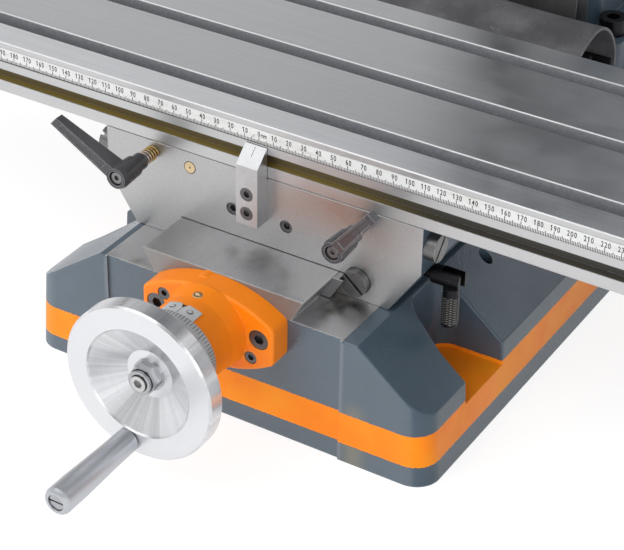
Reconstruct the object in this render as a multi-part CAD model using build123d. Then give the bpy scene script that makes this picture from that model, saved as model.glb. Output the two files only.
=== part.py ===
from build123d import *
import math
import os

# Bench mill drill. Millimetres, +Z up, +X to the operator's right, +Y towards the column.
# The origin is the centre of the four anchor holes, on the underside of the base.

# Fits and clearances
slide_clearance = 0.05
running_clearance = 0.05
roof_gap = 0.4
loose_gap = 0.3

# Base casting
base_length = 500.0
base_width = 286.0
base_corner_radius = 16.0
base_side_height = 48.5
base_side_lean = 3.5
way_height = 86.0
wing_half_width = 84.0
wing_rise = 0.2
left_shoulder_x = 88.0
right_shoulder_x = 93.5
front_panel_half_width = 82.5
front_panel_step = 1.5
base_edge_round = 1.5
base_rim_round = 0.8
pocket_edge_round = 1.2
way_edge_chamfer = 0.5
base_cavity_half_width = 78.0
base_cavity_height = 48.0
base_end_wall = 24.0
pocket_floor = 33.0
pocket_inner_x = 94.6
pocket_near_setback = 50.5
pocket_far_setback = 97.3
pocket_near_corner = 10.0
pocket_far_corner = 14.0
pocket_wall_bend = 24.0
pocket_slant = 7.8
pocket_bend_x = 121.3
anchor_hole_radius = 6.5
anchor_x = 120.0
anchor_setback = 67.0
side_hole_radius = 4.5
side_hole_depth = 20.0
side_hole_x = 104.5
side_hole_setback = 138.5

# Dovetails: the cross way on the base, the table slide and the column way
dovetail_angle = 60.0
way_half_width = 56.5
way_dovetail_height = 15.0
table_dovetail_half_width = 59.0
table_dovetail_height = 15.0
column_dovetail_half_width = 55.0
column_dovetail_depth = 15.0
gib_thickness = 6.0
gib_overhang = 8.0

# Saddle
saddle_setback = 42.0
saddle_width = 221.0
saddle_height = 62.0
saddle_skirt_height = 31.0
saddle_foot_half_width = 90.0
saddle_edge_round = 3.0
saddle_edge_chamfer = 0.2
gib_screw_radius = 4.0
gib_screw_head_radius = 8.5
gib_screw_head_height = 7.0
gib_screw_length = 30.0
cross_gib_screw_sink = 2.0
table_gib_screw_sink = 0.0
gib_screw_slot_angle = -40.0
gib_screw_bite = 2.0
table_gib_screw_rise = 0.0
set_screw_radius = 4.3
set_screw_length = 8.0
set_screw_x = 18.9
set_screw_drop = 29.0
set_screw_sink = 1.0
oil_hole_radius = 2.9
oil_hole_depth = 12.0
oil_hole_x = -49.3
oil_hole_drop = 10.0

# Pointer block on the saddle's front face
pointer_width = 15.0
pointer_centre_x = -1.7
pointer_depth = 11.0
pointer_bottom_drop = 29.0
pointer_rise = 20.5
pointer_bevel = 10.0
pointer_screw_radius = 2.7
pointer_screw_length = 12.0
pointer_screw_pitch = 13.0

# Table
table_length = 700.0
table_width = 180.0
table_thickness = 35.0
t_slot_pitch = 63.0
t_slot_neck = 12.0
t_slot_neck_depth = 9.0
t_slot_width = 20.0
t_slot_foot_depth = 8.0
t_slot_chamfer = 0.6
table_edge_chamfer = 0.7
stop_groove_height = 8.0
stop_groove_depth = 6.0
stop_groove_drop = 19.0
scale_height = 9.5
scale_drop = 4.0
scale_length = 500.0
scale_thickness = 0.8
scale_recess = 0.5
scale_rivet_radius = 1.8
scale_rivet_height = 0.8
scale_rivet_offset = 4.5
scale_rivet_drop = 4.0

# Leadscrews and their nuts
screw_radius = 8.0
journal_radius = 7.0
thread_end_radius = 5.0
cross_screw_height = 74.0
cross_screw_end_gap = 18.0
cross_tunnel_radius = 13.0
nut_slot_half_width = 24.0
nut_slot_front = 92.0
nut_slot_rear_gap = 5.0
cross_nut_half_width = 20.0
cross_nut_length = 45.0
cross_nut_setback = 113.0
cross_nut_depth = 48.0
table_screw_drop = 10.0
table_screw_groove_half_width = 17.0
table_screw_groove_height = 10.0
table_screw_floor_gap = 1.5
table_nut_length = 44.0
table_nut_half_width = 14.0
table_nut_roof = 5.0

# Cross-feed bracket
bracket_half_length = 46.0
bracket_end_half_height = 12.0
bracket_half_height = 26.6
bracket_thickness = 16.0
bracket_edge_round = 2.0
boss_radius = 26.0
boss_length = 30.5
boss_flare = 2.0
boss_flare_length = 12.0
bracket_corner_round = 5.0
bracket_lug_x = -8.0
bracket_lug_radius = 6.0
bracket_lug_rise = 0.5
bracket_lug_depth = 7.0
bearing_radius = 17.0
bearing_length = 9.0
collar_length = 6.0
collar_radius = 13.0
bracket_bolt_radius = 4.0
bracket_bolt_length = 25.0
bracket_bolt_x = 36.0
bracket_bolt_rise = 3.0
bracket_pin_radius = 2.5
bracket_pin_length = 22.0
bracket_pin_x = 30.5
bracket_pin_rise = 11.5
bracket_screw_sink = 0.5
index_length = 10.0
index_thickness = 0.8
index_half_angle = 25.0
index_notch_half_width = 2.2
index_notch_depth = 4.4
index_rivet_radius = 1.6
index_rivet_height = 0.9
index_rivet_angle = 13.0
oiler_radius = 3.0
oiler_depth = 4.0
oiler_setback = 22.0

# Handwheels, dials and revolving grips
dial_radius = 27.5
dial_length = 16.0
dial_gap = 0.5
wheel_radius = 50.0
wheel_hub_radius = 16.0
wheel_hub_length = 10.8
wheel_rim_width = 12.5
wheel_rim_inner_radius = 34.5
wheel_face_offset = 23.1
wheel_seat_radius = 6.0
washer_radius = 10.0
washer_thickness = 1.5
nut_width = 16.0
nut_height = 6.5
nut_collar_radius = 7.4
nut_collar_height = 2.5
grip_circle_radius = 42.0
grip_length = 68.5
grip_root_radius = 7.5
grip_end_radius = 8.8
grip_pin_radius = 4.0
grip_pin_head_radius = 5.0
grip_pin_head_height = 3.0
grip_angle = -100.0

# Clamp levers of the table and lock of the cross slide
lever_left_drop = 7.4
lever_right_drop = 11.4
lever_left_x = -76.0
lever_right_x = 70.4
lever_left_angle = 138.0
lever_right_angle = 51.5
lever_hub_length = 25.5
lever_hub_radius = 7.5
lever_neck_radius = 5.4
lever_neck_length = 6.0
lever_arm_length = 49.0
lever_arm_rise = 10.5
lever_arm_width = 8.6
lever_arm_depth = 12.0
lever_tip_width = 6.6
lever_tip_depth = 5.6
lever_arm_border = 1.2
lever_arm_groove = 0.6
lever_recess_radius = 4.7
lever_recess_depth = 4.0
lever_left_standoff = 13.3
lever_right_standoff = 8.4
stud_radius = 3.0
stud_head_radius = 3.7
stud_head_height = 3.0
spring_wire_radius = 0.55
spring_coil_radius = 4.0
spring_turns = 5.0
cross_lock_setback = 16.0
cross_lock_drop = 37.0
cross_lock_radius = 4.0
cross_lock_inset = 52.0
cross_lock_head_length = 18.5
cross_lock_head_radius = 6.0
cross_lock_handle_radius = 4.8
cross_lock_handle_length = 32.0
cross_lock_handle_x = 11.5
cross_lock_pin_radius = 1.2
lock_plug_radius = 4.0

# Table end brackets
end_bracket_thickness = 30.0
end_bracket_half_width = 50.0
end_bracket_rise = 14.0
end_bracket_drop = 26.0
end_bracket_screw_radius = 4.0
end_bracket_screw_length = 34.0
end_bracket_screw_offset = 38.0
end_bracket_round = 12.0

# Column and its cap
column_setback = 140.0
column_width = 130.0
column_depth = 115.0
column_height = 714.0
column_wall = 14.0
column_cavity_half_width = 42.0
column_corner_radius = 10.0
column_slot_half_width = 17.0
column_slot_start = 70.0
column_foot_half_width = 90.0
column_foot_thickness = 24.0
column_foot_lead = 6.0
column_foot_length = 144.0
column_bolt_radius = 6.0
column_bolt_x = 77.0
column_bolt_inset = 20.0
column_bolt_length = 48.0
cap_plate_thickness = 12.0
cap_plate_overhang = 4.0
cap_housing_half_width = 45.0
cap_housing_height = 66.0
cap_housing_half_depth = 42.0
cap_wall = 10.0
lift_screw_radius = 9.0
lift_screw_setback = 45.0
lift_journal_length = 16.0

# Lift crank and its mitre gears
gear_module = 2.0
gear_teeth = 20
gear_face = 8.0
gear_tooth_width = 1.9
gear_addendum = 1.5
gear_dedendum = 2.4
gear_hub_length = 32.0
gear_hub_radius = 13.0
crank_arm_radius = 60.0
crank_arm_width = 22.0
crank_arm_thickness = 12.0
crank_overhang = 58.0

# Head slide, head and motor
spindle_reach = 185.0
spindle_rest_height = 205.0
head_slide_half_width = 85.0
head_slide_half_height = 90.0
head_slide_thickness = 40.0
swivel_boss_radius = 82.0
swivel_boss_thickness = 10.0
swivel_slot_radius = 64.0
swivel_neck_half_width = 5.2
swivel_foot_half_width = 9.0
swivel_neck_depth = 6.0
swivel_foot_depth = 8.0
swivel_bolt_radius = 5.0
swivel_bolt_head_radius = 8.5
swivel_bolt_head_height = 7.0
swivel_bolt_overhang = 14.0
swivel_nut_width = 16.0
swivel_nut_height = 9.0
spigot_radius = 18.0
spigot_length = 26.0
lift_nut_half_width = 15.0
lift_nut_half_height = 25.0
lift_nut_depth = 62.0
head_half_width = 70.0
head_front_reach = 65.0
head_bottom_drop = 130.0
head_top_rise = 110.0
head_neck_half_width = 42.0
head_neck_top = 48.0
head_neck_bottom = 100.0
head_flange_thickness = 16.0
head_neck_length = 24.0
head_corner_radius = 18.0
belt_room_depth = 38.0
belt_room_half_width = 52.0
belt_room_floor = 12.0
belt_room_gap = 14.0
belt_room_corner = 20.0
cover_thickness = 14.0
motor_radius = 52.0
motor_height = 166.0
motor_setback = 80.0
motor_flange_thickness = 10.0
motor_fan_cap_height = 30.0
motor_shaft_radius = 8.0
motor_pulley_radius = 25.0
spindle_pulley_radius = 36.0
pulley_height = 24.0
pulley_flange = 3.0
pulley_rise = 5.0
belt_thickness = 5.0
belt_width = 16.0
drawbar_cap_radius = 26.0
drawbar_cap_height = 34.0
drawbar_cap_wall = 3.0

# Quill, spindle and feed
quill_radius = 30.0
quill_length = 190.0
quill_drop = 20.0
quill_stroke = 50.0
quill_bearing_radius = 21.0
quill_bearing_length = 16.0
spindle_radius = 12.0
spindle_nose_radius = 20.0
spindle_nose_length = 15.0
spindle_body_radius = 15.0
spindle_sleeve_radius = 21.0
taper_mouth_radius = 11.9
taper_end_radius = 10.1
taper_length = 75.0
drawbar_radius = 5.0
drawbar_bore_clearance = 1.0
drawbar_head_radius = 9.0
drawbar_head_height = 14.0
drawbar_engagement = 14.0
spline_rise = 24.0
pinion_module = 1.5
pinion_teeth = 16
pinion_addendum = 1.2
pinion_dedendum = 1.8
pinion_tooth_width = 1.7
pinion_length = 50.0
rack_offset = 27.0
rack_half_width = 17.0
rack_pitches = 18
feed_shaft_radius = 14.0
feed_shaft_drop = 60.0
feed_shaft_inset = 60.0
capstan_hub_radius = 24.0
capstan_hub_length = 34.0
capstan_spoke_radius = 5.0
capstan_spoke_length = 72.0
capstan_knob_radius = 12.0
capstan_lean = 14.0
capstan_spokes = 3
capstan_phase = 30.0
capstan_spoke_seat = 10.0
quill_lock_setback = 30.0
quill_lock_drop = 95.0
quill_lock_arm = 46.0
head_lock_drop = 45.0
head_lock_arm = 56.0
side_lever_hub_length = 20.0
side_lever_hub_radius = 11.0
side_lever_bar_radius = 4.5
side_lever_ball_radius = 8.5

# Control box and its knobs
control_half_width = 58.0
control_depth = 34.0
control_height = 110.0
control_rise = -6.0
control_wall = 3.0
button_travel = 4.0
button_stem_radius = 6.0
button_stem_length = 14.0
stop_button_radius = 17.0
start_button_radius = 11.0
speed_knob_radius = 15.0
speed_knob_height = 16.0
button_height = 12.0
button_spacing = 34.0
button_row_drop = 25.0
control_corner_radius = 8.0

# Rubber way cover
cover_half_width = 90.0
cover_sheet = 2.0
cover_saddle_height = 26.0
cover_foot_height = 11.0
cover_crest_height = 66.0
cover_crest_setback = 36.0

# Worked-out places
base_front = -base_length / 2
base_rear = base_length / 2
panel_front = base_front + front_panel_step
way_top = way_height + way_dovetail_height
dovetail_run = 1.0 / math.tan(math.radians(dovetail_angle))
flank_factor = 1.0 / math.sin(math.radians(dovetail_angle))
gib_run = gib_thickness * flank_factor
flank_clearance = slide_clearance * flank_factor
saddle_front = base_front + saddle_setback
saddle_rear = saddle_front + table_width
saddle_bottom = way_height + slide_clearance
saddle_top = saddle_bottom + saddle_height
saddle_half_width = saddle_width / 2
table_bottom = saddle_top + slide_clearance
table_top = table_bottom + table_thickness
table_middle = saddle_front + table_width / 2
table_end = table_length / 2
table_foot = table_bottom - table_dovetail_height
table_screw_height = table_bottom - table_screw_drop
table_screw_floor = table_screw_height - screw_radius - table_screw_floor_gap
column_front = base_rear - column_setback
column_body_front = column_front + column_dovetail_depth
column_rear = column_body_front + column_depth
column_bottom = way_top
column_top = column_bottom + column_height
foot_front = column_front - column_foot_lead
foot_rear = foot_front + column_foot_length
foot_top = column_bottom + column_foot_thickness
lift_screw_y = column_front + lift_screw_setback
gear_radius = gear_module * gear_teeth / 2
gear_apex = column_top + cap_plate_thickness + slide_clearance + gear_hub_length
spindle_y = column_front - spindle_reach
nose_height = table_top + spindle_rest_height
head_middle = nose_height + spindle_nose_length + quill_drop + head_bottom_drop
slide_front = column_front - head_slide_thickness
swivel_face = slide_front - swivel_boss_thickness
head_front = spindle_y - head_front_reach
head_bottom = head_middle - head_bottom_drop
head_top = head_middle + head_top_rise
neck_front = swivel_face - head_flange_thickness - head_neck_length
belt_floor = head_top - belt_room_depth
cover_top = head_top + cover_thickness
motor_y = spindle_y + motor_setback
pinion_radius = pinion_module * pinion_teeth / 2
feed_shaft_y = spindle_y + rack_offset + pinion_radius
feed_shaft_z = head_middle - feed_shaft_drop
quill_bottom = head_bottom - quill_drop

pieces = {}


def box(x, y, z):
    """A block given by its (low, high) pair along each axis."""
    middle = Pos((x[0] + x[1]) / 2, (y[0] + y[1]) / 2, (z[0] + z[1]) / 2)
    return middle * Box(x[1] - x[0], y[1] - y[0], z[1] - z[0])


def rod(axis, at, start, end, radius):
    """A round bar along one axis; at holds its other two coordinates, in X, Y, Z order."""
    length = end - start
    middle = (start + end) / 2
    if axis == "x":
        return Pos(middle, at[0], at[1]) * Rot(0, 90, 0) * Cylinder(radius, length)
    if axis == "y":
        return Pos(at[0], middle, at[1]) * Rot(90, 0, 0) * Cylinder(radius, length)
    return Pos(at[0], at[1], middle) * Cylinder(radius, length)


def prism(axis, outline, start, end):
    """A straight bar whose section is an outline in the other two coordinates, in X, Y, Z order."""
    if axis == "x":
        corners = [(start, a, b) for a, b in outline]
        run = (end - start, 0, 0)
    elif axis == "y":
        corners = [(a, start, b) for a, b in outline]
        run = (0, end - start, 0)
    else:
        corners = [(a, b, start) for a, b in outline]
        run = (0, 0, end - start)
    return Solid.extrude(Face(Wire.make_polygon(corners, close=True)), Vector(*run))


def turned(profile):
    """A turned piece about local Z, from (radius, height) points."""
    section = Face(Wire.make_polygon([(r, 0, h) for r, h in profile], close=True))
    return Solid.revolve(section, 360, Axis.Z)


def hexagon(width, start, end):
    """A hexagonal bar along local Z, given its width across flats."""
    outline = RegularPolygon(width / math.sqrt(3), 6)
    return Pos(0, 0, start) * extrude(outline, end - start)


def group(*solids):
    """Several separate solids kept in one node."""
    return Compound(list(solids))


def facing_front(x, y, z):
    """Places a local +Z piece so that it points at the operator."""
    return Pos(x, y, z) * Rot(90, 0, 0)


def facing_right(x, y, z):
    return Pos(x, y, z) * Rot(0, 90, 0)


def facing_left(x, y, z):
    return Pos(x, y, z) * Rot(0, -90, 0)


def cap_screw(radius, length):
    """Socket head screw: the head stands on local z = 0 and the shank runs below it."""
    head = Pos(0, 0, radius) * Cylinder(1.6 * radius, 2 * radius)
    shank = Pos(0, 0, -length / 2) * Cylinder(radius, length)
    socket = hexagon(1.5 * radius, radius, 2 * radius)
    return head + shank - socket


def slotted_screw(radius, length, head_radius, head_height):
    """Cheese head screw with a straight slot: the head stands on local z = 0."""
    head = Pos(0, 0, head_height / 2) * Cylinder(head_radius, head_height)
    shank = Pos(0, 0, -length / 2) * Cylinder(radius, length)
    slot = Pos(0, 0, head_height) * Box(3 * head_radius, head_radius / 4, head_height * 0.7)
    return head + shank - slot


def way_edge(z):
    """Half width of the cross dovetail at a height."""
    return way_half_width - (way_top - z) * dovetail_run


def slide_edge(z):
    """Half width of the table's dovetail at a height."""
    return table_dovetail_half_width + (table_bottom - z) * dovetail_run


def column_edge(y):
    """Half width of the column's dovetail at a depth."""
    return column_dovetail_half_width - (y - column_front) * dovetail_run


def edges_along(solid, axis, across, height):
    """Both straight edges along X or Y that run at plus and minus a distance, at a height."""
    run = Axis.Y if axis == "y" else Axis.X
    found = []
    for edge in solid.edges().filter_by(run):
        middle = edge.center()
        offset = middle.X if axis == "y" else middle.Y
        if abs(abs(offset) - across) < 0.01 and abs(middle.Z - height) < 0.01:
            found.append(edge)
    return found


def corner_edges(solid):
    """The four corners of the base, from the ground up to its crest."""
    found = []
    for edge in solid.edges():
        heights = sorted(edge.position_at(t).Z for t in (0, 1))
        if heights[0] < 0.01 and heights[1] > base_side_height - 0.01:
            found.append(edge)
    return found


def crest_edges(solid):
    """The edge all round the base where its sides meet its sloping top."""
    found = []
    for edge in solid.edges():
        ends = [edge.position_at(t) for t in (0, 0.5, 1)]
        upright = [abs(face.normal_at().Z) < 0.2 for face in solid.faces() if on_face(face, ends[1])]
        if min(point.Z for point in ends) > base_side_height - 1 and upright.count(True) == 1:
            found.append(edge)
    return found


def on_face(face, point):
    return face.distance_to(point) < 0.001


def pocket_rims(solid):
    """Upper rims and upright outer corners of the bolt pockets."""
    near = base_length / 2 - pocket_near_setback
    far = base_length / 2 - pocket_far_setback
    found = []
    for edge in solid.edges():
        points = [edge.position_at(t) for t in (0, 0.5, 1)]
        centre = points[1]
        beside = far - 1 < abs(centre.Y) < near + 1
        if not beside or abs(centre.X) < pocket_inner_x - 0.5:
            continue
        lowest = min(point.Z for point in points)
        at_side = base_width / 2 - abs(centre.X) < base_side_lean + 1
        outer_corner = abs(edge.tangent_at(0.5).Z) > 0.99 and at_side
        if lowest > pocket_floor + 0.5 or outer_corner:
            found.append(edge)
    return found


def pocket_outline(side, end):
    """Bolt pocket in plan: rounded inner corners, open outwards; side and end are +1 or -1."""
    mouth_x = base_width / 2 + 2
    near = base_length / 2 - pocket_near_setback
    far = base_length / 2 - pocket_far_setback
    corners = [(mouth_x, far), (pocket_inner_x, far), (pocket_inner_x, near - pocket_slant),
               (pocket_bend_x, near), (mouth_x, near)]
    outline = make_face(Polyline([(side * x, end * y) for x, y in corners], close=True))
    rounds = (pocket_far_corner, pocket_near_corner, pocket_wall_bend)
    for (x, y), radius in zip(corners[1:4], rounds):
        corner = outline.vertices().sort_by_distance((side * x, end * y))[0]
        outline = fillet(corner, radius)
    return outline


def make_base():
    half = base_width / 2
    crest = half - base_side_lean
    rim = way_height - wing_rise
    outline = [(half, 0), (crest, base_side_height), (right_shoulder_x, rim),
               (-left_shoulder_x, rim), (-crest, base_side_height), (-half, 0)]
    body = prism("y", outline, base_front, base_rear)
    ridges = edges_along(body, "y", right_shoulder_x, rim) + edges_along(body, "y", left_shoulder_x, rim)
    body = fillet(ridges, base_rim_round)
    body = fillet(corner_edges(body), base_corner_radius)
    body = fillet(crest_edges(body), base_edge_round)
    body += box((-wing_half_width, wing_half_width), (base_front, base_rear), (0, way_height))
    body -= box((-front_panel_half_width, front_panel_half_width), (base_front, panel_front), (0, way_height))
    edge = way_edge_chamfer
    dovetail = [(way_half_width - edge, way_top), (edge - way_half_width, way_top),
                (-way_edge(way_top - edge), way_top - edge), (-way_edge(way_height), way_height),
                (way_edge(way_height), way_height), (way_edge(way_top - edge), way_top - edge)]
    body += prism("y", dovetail, panel_front, foot_front)
    pad_half = column_foot_half_width + 2
    body += box((-pad_half, pad_half), (foot_front, foot_rear), (rim - wing_rise, way_top))
    body -= box((-base_cavity_half_width, base_cavity_half_width),
                (base_front + base_end_wall, base_rear - base_end_wall), (-1, base_cavity_height))
    slot_front = base_front + nut_slot_front
    body -= box((-nut_slot_half_width, nut_slot_half_width),
                (slot_front, foot_front - nut_slot_rear_gap), (base_cavity_height - 1, way_top + 1))
    body -= rod("y", (0, cross_screw_height), base_front - 1, slot_front + 1, cross_tunnel_radius)
    for side in (1, -1):
        for end in (1, -1):
            outline = Pos(0, 0, pocket_floor) * pocket_outline(side, end)
            body -= extrude(outline, way_top - pocket_floor)
    body = fillet(pocket_rims(body), pocket_edge_round)
    for side in (1, -1):
        for end in (1, -1):
            hole_y = end * (base_rear - anchor_setback)
            body -= rod("z", (side * anchor_x, hole_y), -1, pocket_floor + 1, anchor_hole_radius)
            bolt_x = side * column_bolt_x
            for bolt_y in (foot_front + column_bolt_inset, foot_rear - column_bolt_inset):
                depth = column_bolt_length - column_foot_thickness
                body -= rod("z", (bolt_x, bolt_y), way_top - depth - 2, way_top + 1, column_bolt_radius)
    side_hole_y = base_front + side_hole_setback
    body -= rod("z", (side_hole_x, side_hole_y), way_height - wing_rise - side_hole_depth - 8, way_top,
                side_hole_radius)
    for x, z, radius, length in bracket_screw_places():
        depth = length + 2 * radius + bracket_screw_sink - bracket_thickness + 2
        body -= rod("y", (x, z), panel_front - 1, panel_front + depth, radius)
    pieces["base_casting"] = body


def bracket_screw_places():
    """The bracket's screws: (x, z, radius, length); two large bolts and two small pins set crosswise."""
    bolt_z = cross_screw_height + bracket_bolt_rise
    bolts = [(side * bracket_bolt_x, bolt_z, bracket_bolt_radius, bracket_bolt_length) for side in (-1, 1)]
    pins = [(side * bracket_pin_x, cross_screw_height - side * bracket_pin_rise, bracket_pin_radius,
             bracket_pin_length) for side in (-1, 1)]
    return bolts + pins


def make_column():
    body_middle = (column_body_front + column_rear) / 2
    shaft = RectangleRounded(column_width, column_depth, column_corner_radius)
    body = Pos(0, body_middle, column_bottom) * extrude(shaft, column_height)
    way = [(column_dovetail_half_width, column_front), (-column_dovetail_half_width, column_front),
           (-column_edge(column_body_front), column_body_front),
           (column_edge(column_body_front), column_body_front)]
    body += prism("z", way, foot_top, column_top)
    foot = RectangleRounded(2 * column_foot_half_width, column_foot_length, column_corner_radius)
    body += Pos(0, (foot_front + foot_rear) / 2, column_bottom) * extrude(foot, column_foot_thickness)
    body -= box((-column_cavity_half_width, column_cavity_half_width),
                (column_body_front + column_wall, column_rear - column_wall), (foot_top, column_top + 1))
    body -= box((-column_slot_half_width, column_slot_half_width),
                (column_front - 1, column_body_front + column_wall + 1),
                (column_bottom + column_slot_start, column_top + 1))
    body -= rod("z", (0, lift_screw_y), column_bottom - 1, foot_top + 1, journal_radius + running_clearance)
    bolts = []
    for x in (-column_bolt_x, column_bolt_x):
        for y in (foot_front + column_bolt_inset, foot_rear - column_bolt_inset):
            body -= rod("z", (x, y), column_bottom - 1, foot_top + 1, column_bolt_radius + loose_gap)
            bolts.append(Pos(x, y, foot_top) * cap_screw(column_bolt_radius, column_bolt_length))
    pieces["column"] = body
    pieces["column_bolts"] = group(*bolts)


def make_column_cap():
    plate_top = column_top + cap_plate_thickness
    width = column_width + 2 * cap_plate_overhang
    depth = column_rear - column_front + 2 * cap_plate_overhang
    plate = RectangleRounded(width, depth, column_corner_radius)
    cap = Pos(0, (column_front + column_rear) / 2, column_top) * extrude(plate, cap_plate_thickness)
    housing_y = (lift_screw_y - cap_housing_half_depth, lift_screw_y + cap_housing_half_depth)
    housing_x = (-cap_housing_half_width, cap_housing_half_width)
    cap += box(housing_x, housing_y, (plate_top, plate_top + cap_housing_height))
    room_x = (housing_x[0] + cap_wall, housing_x[1] - cap_wall)
    room_y = (housing_y[0] + cap_wall, housing_y[1] - cap_wall)
    cap -= box(room_x, room_y, (plate_top, plate_top + cap_housing_height - cap_wall))
    cap -= rod("z", (0, lift_screw_y), column_top - 1, plate_top + 1, lift_screw_radius + running_clearance)
    cap -= rod("x", (lift_screw_y, gear_apex), room_x[1] - 1, housing_x[1] + 1,
               journal_radius + running_clearance)
    pieces["column_cap"] = cap


def mitre_gear():
    """One of a pair of equal bevel gears; the pitch cone's tip is the origin and the gear lies below it."""
    slope = math.sqrt(0.5)
    shrink = 1 - gear_face * slope / gear_radius

    def cone_point(height, across):
        return Vector(gear_radius + height * slope, across, -gear_radius + height * slope)

    root = cone_point(-gear_dedendum, 0)
    body = turned([(0, root.Z * shrink), (root.X * shrink, root.Z * shrink), (root.X, root.Z),
                   (gear_hub_radius, root.Z), (gear_hub_radius, -gear_hub_length), (0, -gear_hub_length)])
    lean = math.tan(math.radians(20))
    sink = gear_dedendum + 0.2
    foot = gear_tooth_width / 2 + lean * sink
    tip = gear_tooth_width / 2 - lean * gear_addendum
    outer = [cone_point(-sink, -foot), cone_point(-sink, foot), cone_point(gear_addendum, tip),
             cone_point(gear_addendum, -tip)]
    inner = [point * shrink for point in outer]
    tooth = Solid.make_loft([Wire.make_polygon(outer), Wire.make_polygon(inner)], ruled=True)
    teeth = [Rot(0, 0, 360 * n / gear_teeth) * tooth for n in range(gear_teeth)]
    return body.fuse(*teeth)


def make_lift():
    """Lift leadscrew with its gear, and the crank that turns it through the second gear."""
    screw_top = gear_apex - gear_hub_length
    screw = rod("z", (0, lift_screw_y), foot_top + lift_journal_length, screw_top + 1, lift_screw_radius)
    screw += rod("z", (0, lift_screw_y), column_bottom + 2, foot_top + lift_journal_length, journal_radius)
    screw += Pos(0, lift_screw_y, gear_apex) * mitre_gear()
    pieces["lift_leadscrew"] = screw
    # Half a tooth of turn puts the crank gear's teeth into the other gear's spaces.
    half_tooth = 180 / gear_teeth
    shaft_end = cap_housing_half_width + crank_overhang
    crank = Pos(0, lift_screw_y, gear_apex) * Rot(0, -90, 0) * Rot(0, 0, half_tooth) * mitre_gear()
    crank += rod("x", (lift_screw_y, gear_apex), gear_hub_length - 1, shaft_end, journal_radius)
    arm_x = (shaft_end - crank_arm_thickness, shaft_end)
    arm = box(arm_x, (lift_screw_y - crank_arm_width / 2, lift_screw_y + crank_arm_width / 2),
              (gear_apex - crank_arm_radius, gear_apex))
    for z in (gear_apex, gear_apex - crank_arm_radius):
        arm += rod("x", (lift_screw_y, z), arm_x[0], arm_x[1], crank_arm_width / 2)
    arm -= rod("x", (lift_screw_y, gear_apex), arm_x[0] - 1, arm_x[1] + 1, journal_radius)
    pin_z = gear_apex - crank_arm_radius
    arm -= rod("x", (lift_screw_y, pin_z), arm_x[0] - 1, arm_x[1] + 1, grip_pin_radius)
    pin = facing_right(arm_x[1], lift_screw_y, pin_z) * grip_pin(crank_arm_thickness)
    pieces["lift_crank"] = group(crank, arm, pin)
    pieces["lift_grip"] = facing_right(arm_x[1] + dial_gap, lift_screw_y, pin_z) * grip()


def grip():
    """Revolving grip: local z = 0 is its root, and a pin runs through it."""
    bore = grip_pin_radius + running_clearance
    recess = grip_pin_head_radius + loose_gap
    depth = grip_length - grip_pin_head_height - 1
    return turned([(bore, 0), (grip_root_radius - 1, 0), (grip_root_radius, 1),
                   (grip_root_radius + 0.3, grip_length * 0.3), (grip_end_radius, grip_length * 0.75),
                   (grip_end_radius, grip_length - 2.5), (grip_end_radius - 0.8, grip_length - 0.8),
                   (grip_end_radius - 2, grip_length), (recess, grip_length), (recess, depth), (bore, depth)])


def grip_pin(root):
    """Shoulder screw of a grip; root is how far it goes into the wheel or arm below local z = 0."""
    seat = dial_gap + grip_length - grip_pin_head_height - 1 + slide_clearance
    pin = turned([(0, -root), (grip_pin_radius, -root), (grip_pin_radius, seat), (grip_pin_head_radius, seat),
                  (grip_pin_head_radius, seat + grip_pin_head_height), (0, seat + grip_pin_head_height)])
    slot = Pos(0, 0, seat + grip_pin_head_height) * Box(3 * grip_pin_head_radius, 1.2, 2.4)
    return pin - slot


def handwheel():
    """Dished handwheel about local Z: z = 0 is the back of its hub."""
    face = wheel_face_offset
    rim_back = face - wheel_rim_width
    lip = wheel_rim_inner_radius + 1
    profile = [(wheel_seat_radius, 0), (wheel_hub_radius, 0), (wheel_hub_radius + 4, rim_back * 0.3),
               (wheel_rim_inner_radius + 3.5, rim_back), (wheel_radius - 1.2, rim_back),
               (wheel_radius, rim_back + 1.2), (wheel_radius, face - 1.2), (wheel_radius - 1.2, face),
               (lip, face), (wheel_rim_inner_radius, face - 1), (wheel_hub_radius - 0.5, wheel_hub_length),
               (wheel_seat_radius, wheel_hub_length)]
    wheel = turned(profile)
    return wheel - grip_place() * Pos(0, 0, -wheel_rim_width) * Cylinder(grip_pin_radius, 4 * wheel_rim_width)


def grip_place():
    """Where a handwheel's grip stands on its face."""
    angle = math.radians(grip_angle)
    x = grip_circle_radius * math.cos(angle)
    y = grip_circle_radius * math.sin(angle)
    return Pos(x, y, wheel_face_offset)


def wheel_fasteners():
    """Washer, lock nut and grip pin of one handwheel."""
    seat = wheel_hub_length
    nut_base = seat + washer_thickness
    washer = turned([(wheel_seat_radius, seat), (washer_radius, seat), (washer_radius, nut_base),
                     (wheel_seat_radius, nut_base)])
    nut = hexagon(nut_width, nut_base, nut_base + nut_height)
    collar_middle = nut_base + nut_height + nut_collar_height / 2
    nut += Pos(0, 0, collar_middle) * Cylinder(nut_collar_radius, nut_collar_height)
    nut -= Pos(0, 0, nut_base) * Cylinder(thread_end_radius, 4 * nut_height)
    return [washer, nut, grip_place() * grip_pin(wheel_rim_width - 2)]


def dial():
    """Graduated collar about local Z, with a narrow front bevel."""
    return turned([(journal_radius, 0), (dial_radius, 0), (dial_radius, dial_length - 1.5),
                   (dial_radius - 1.5, dial_length), (journal_radius, dial_length)])


def screw_end(start):
    """Stepped outer end of a leadscrew about local Z, from start to the end of its thread."""
    wheel_seat = dial_length + wheel_hub_length
    end = dial_length + wheel_face_offset - 0.6
    steps = turned([(0, start), (journal_radius, start), (journal_radius, dial_length),
                    (wheel_seat_radius, dial_length), (wheel_seat_radius, wheel_seat + washer_thickness),
                    (thread_end_radius, wheel_seat + washer_thickness), (thread_end_radius, end), (0, end)])
    return steps - hexagon(thread_end_radius, end - 4, end + 1)


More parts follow.
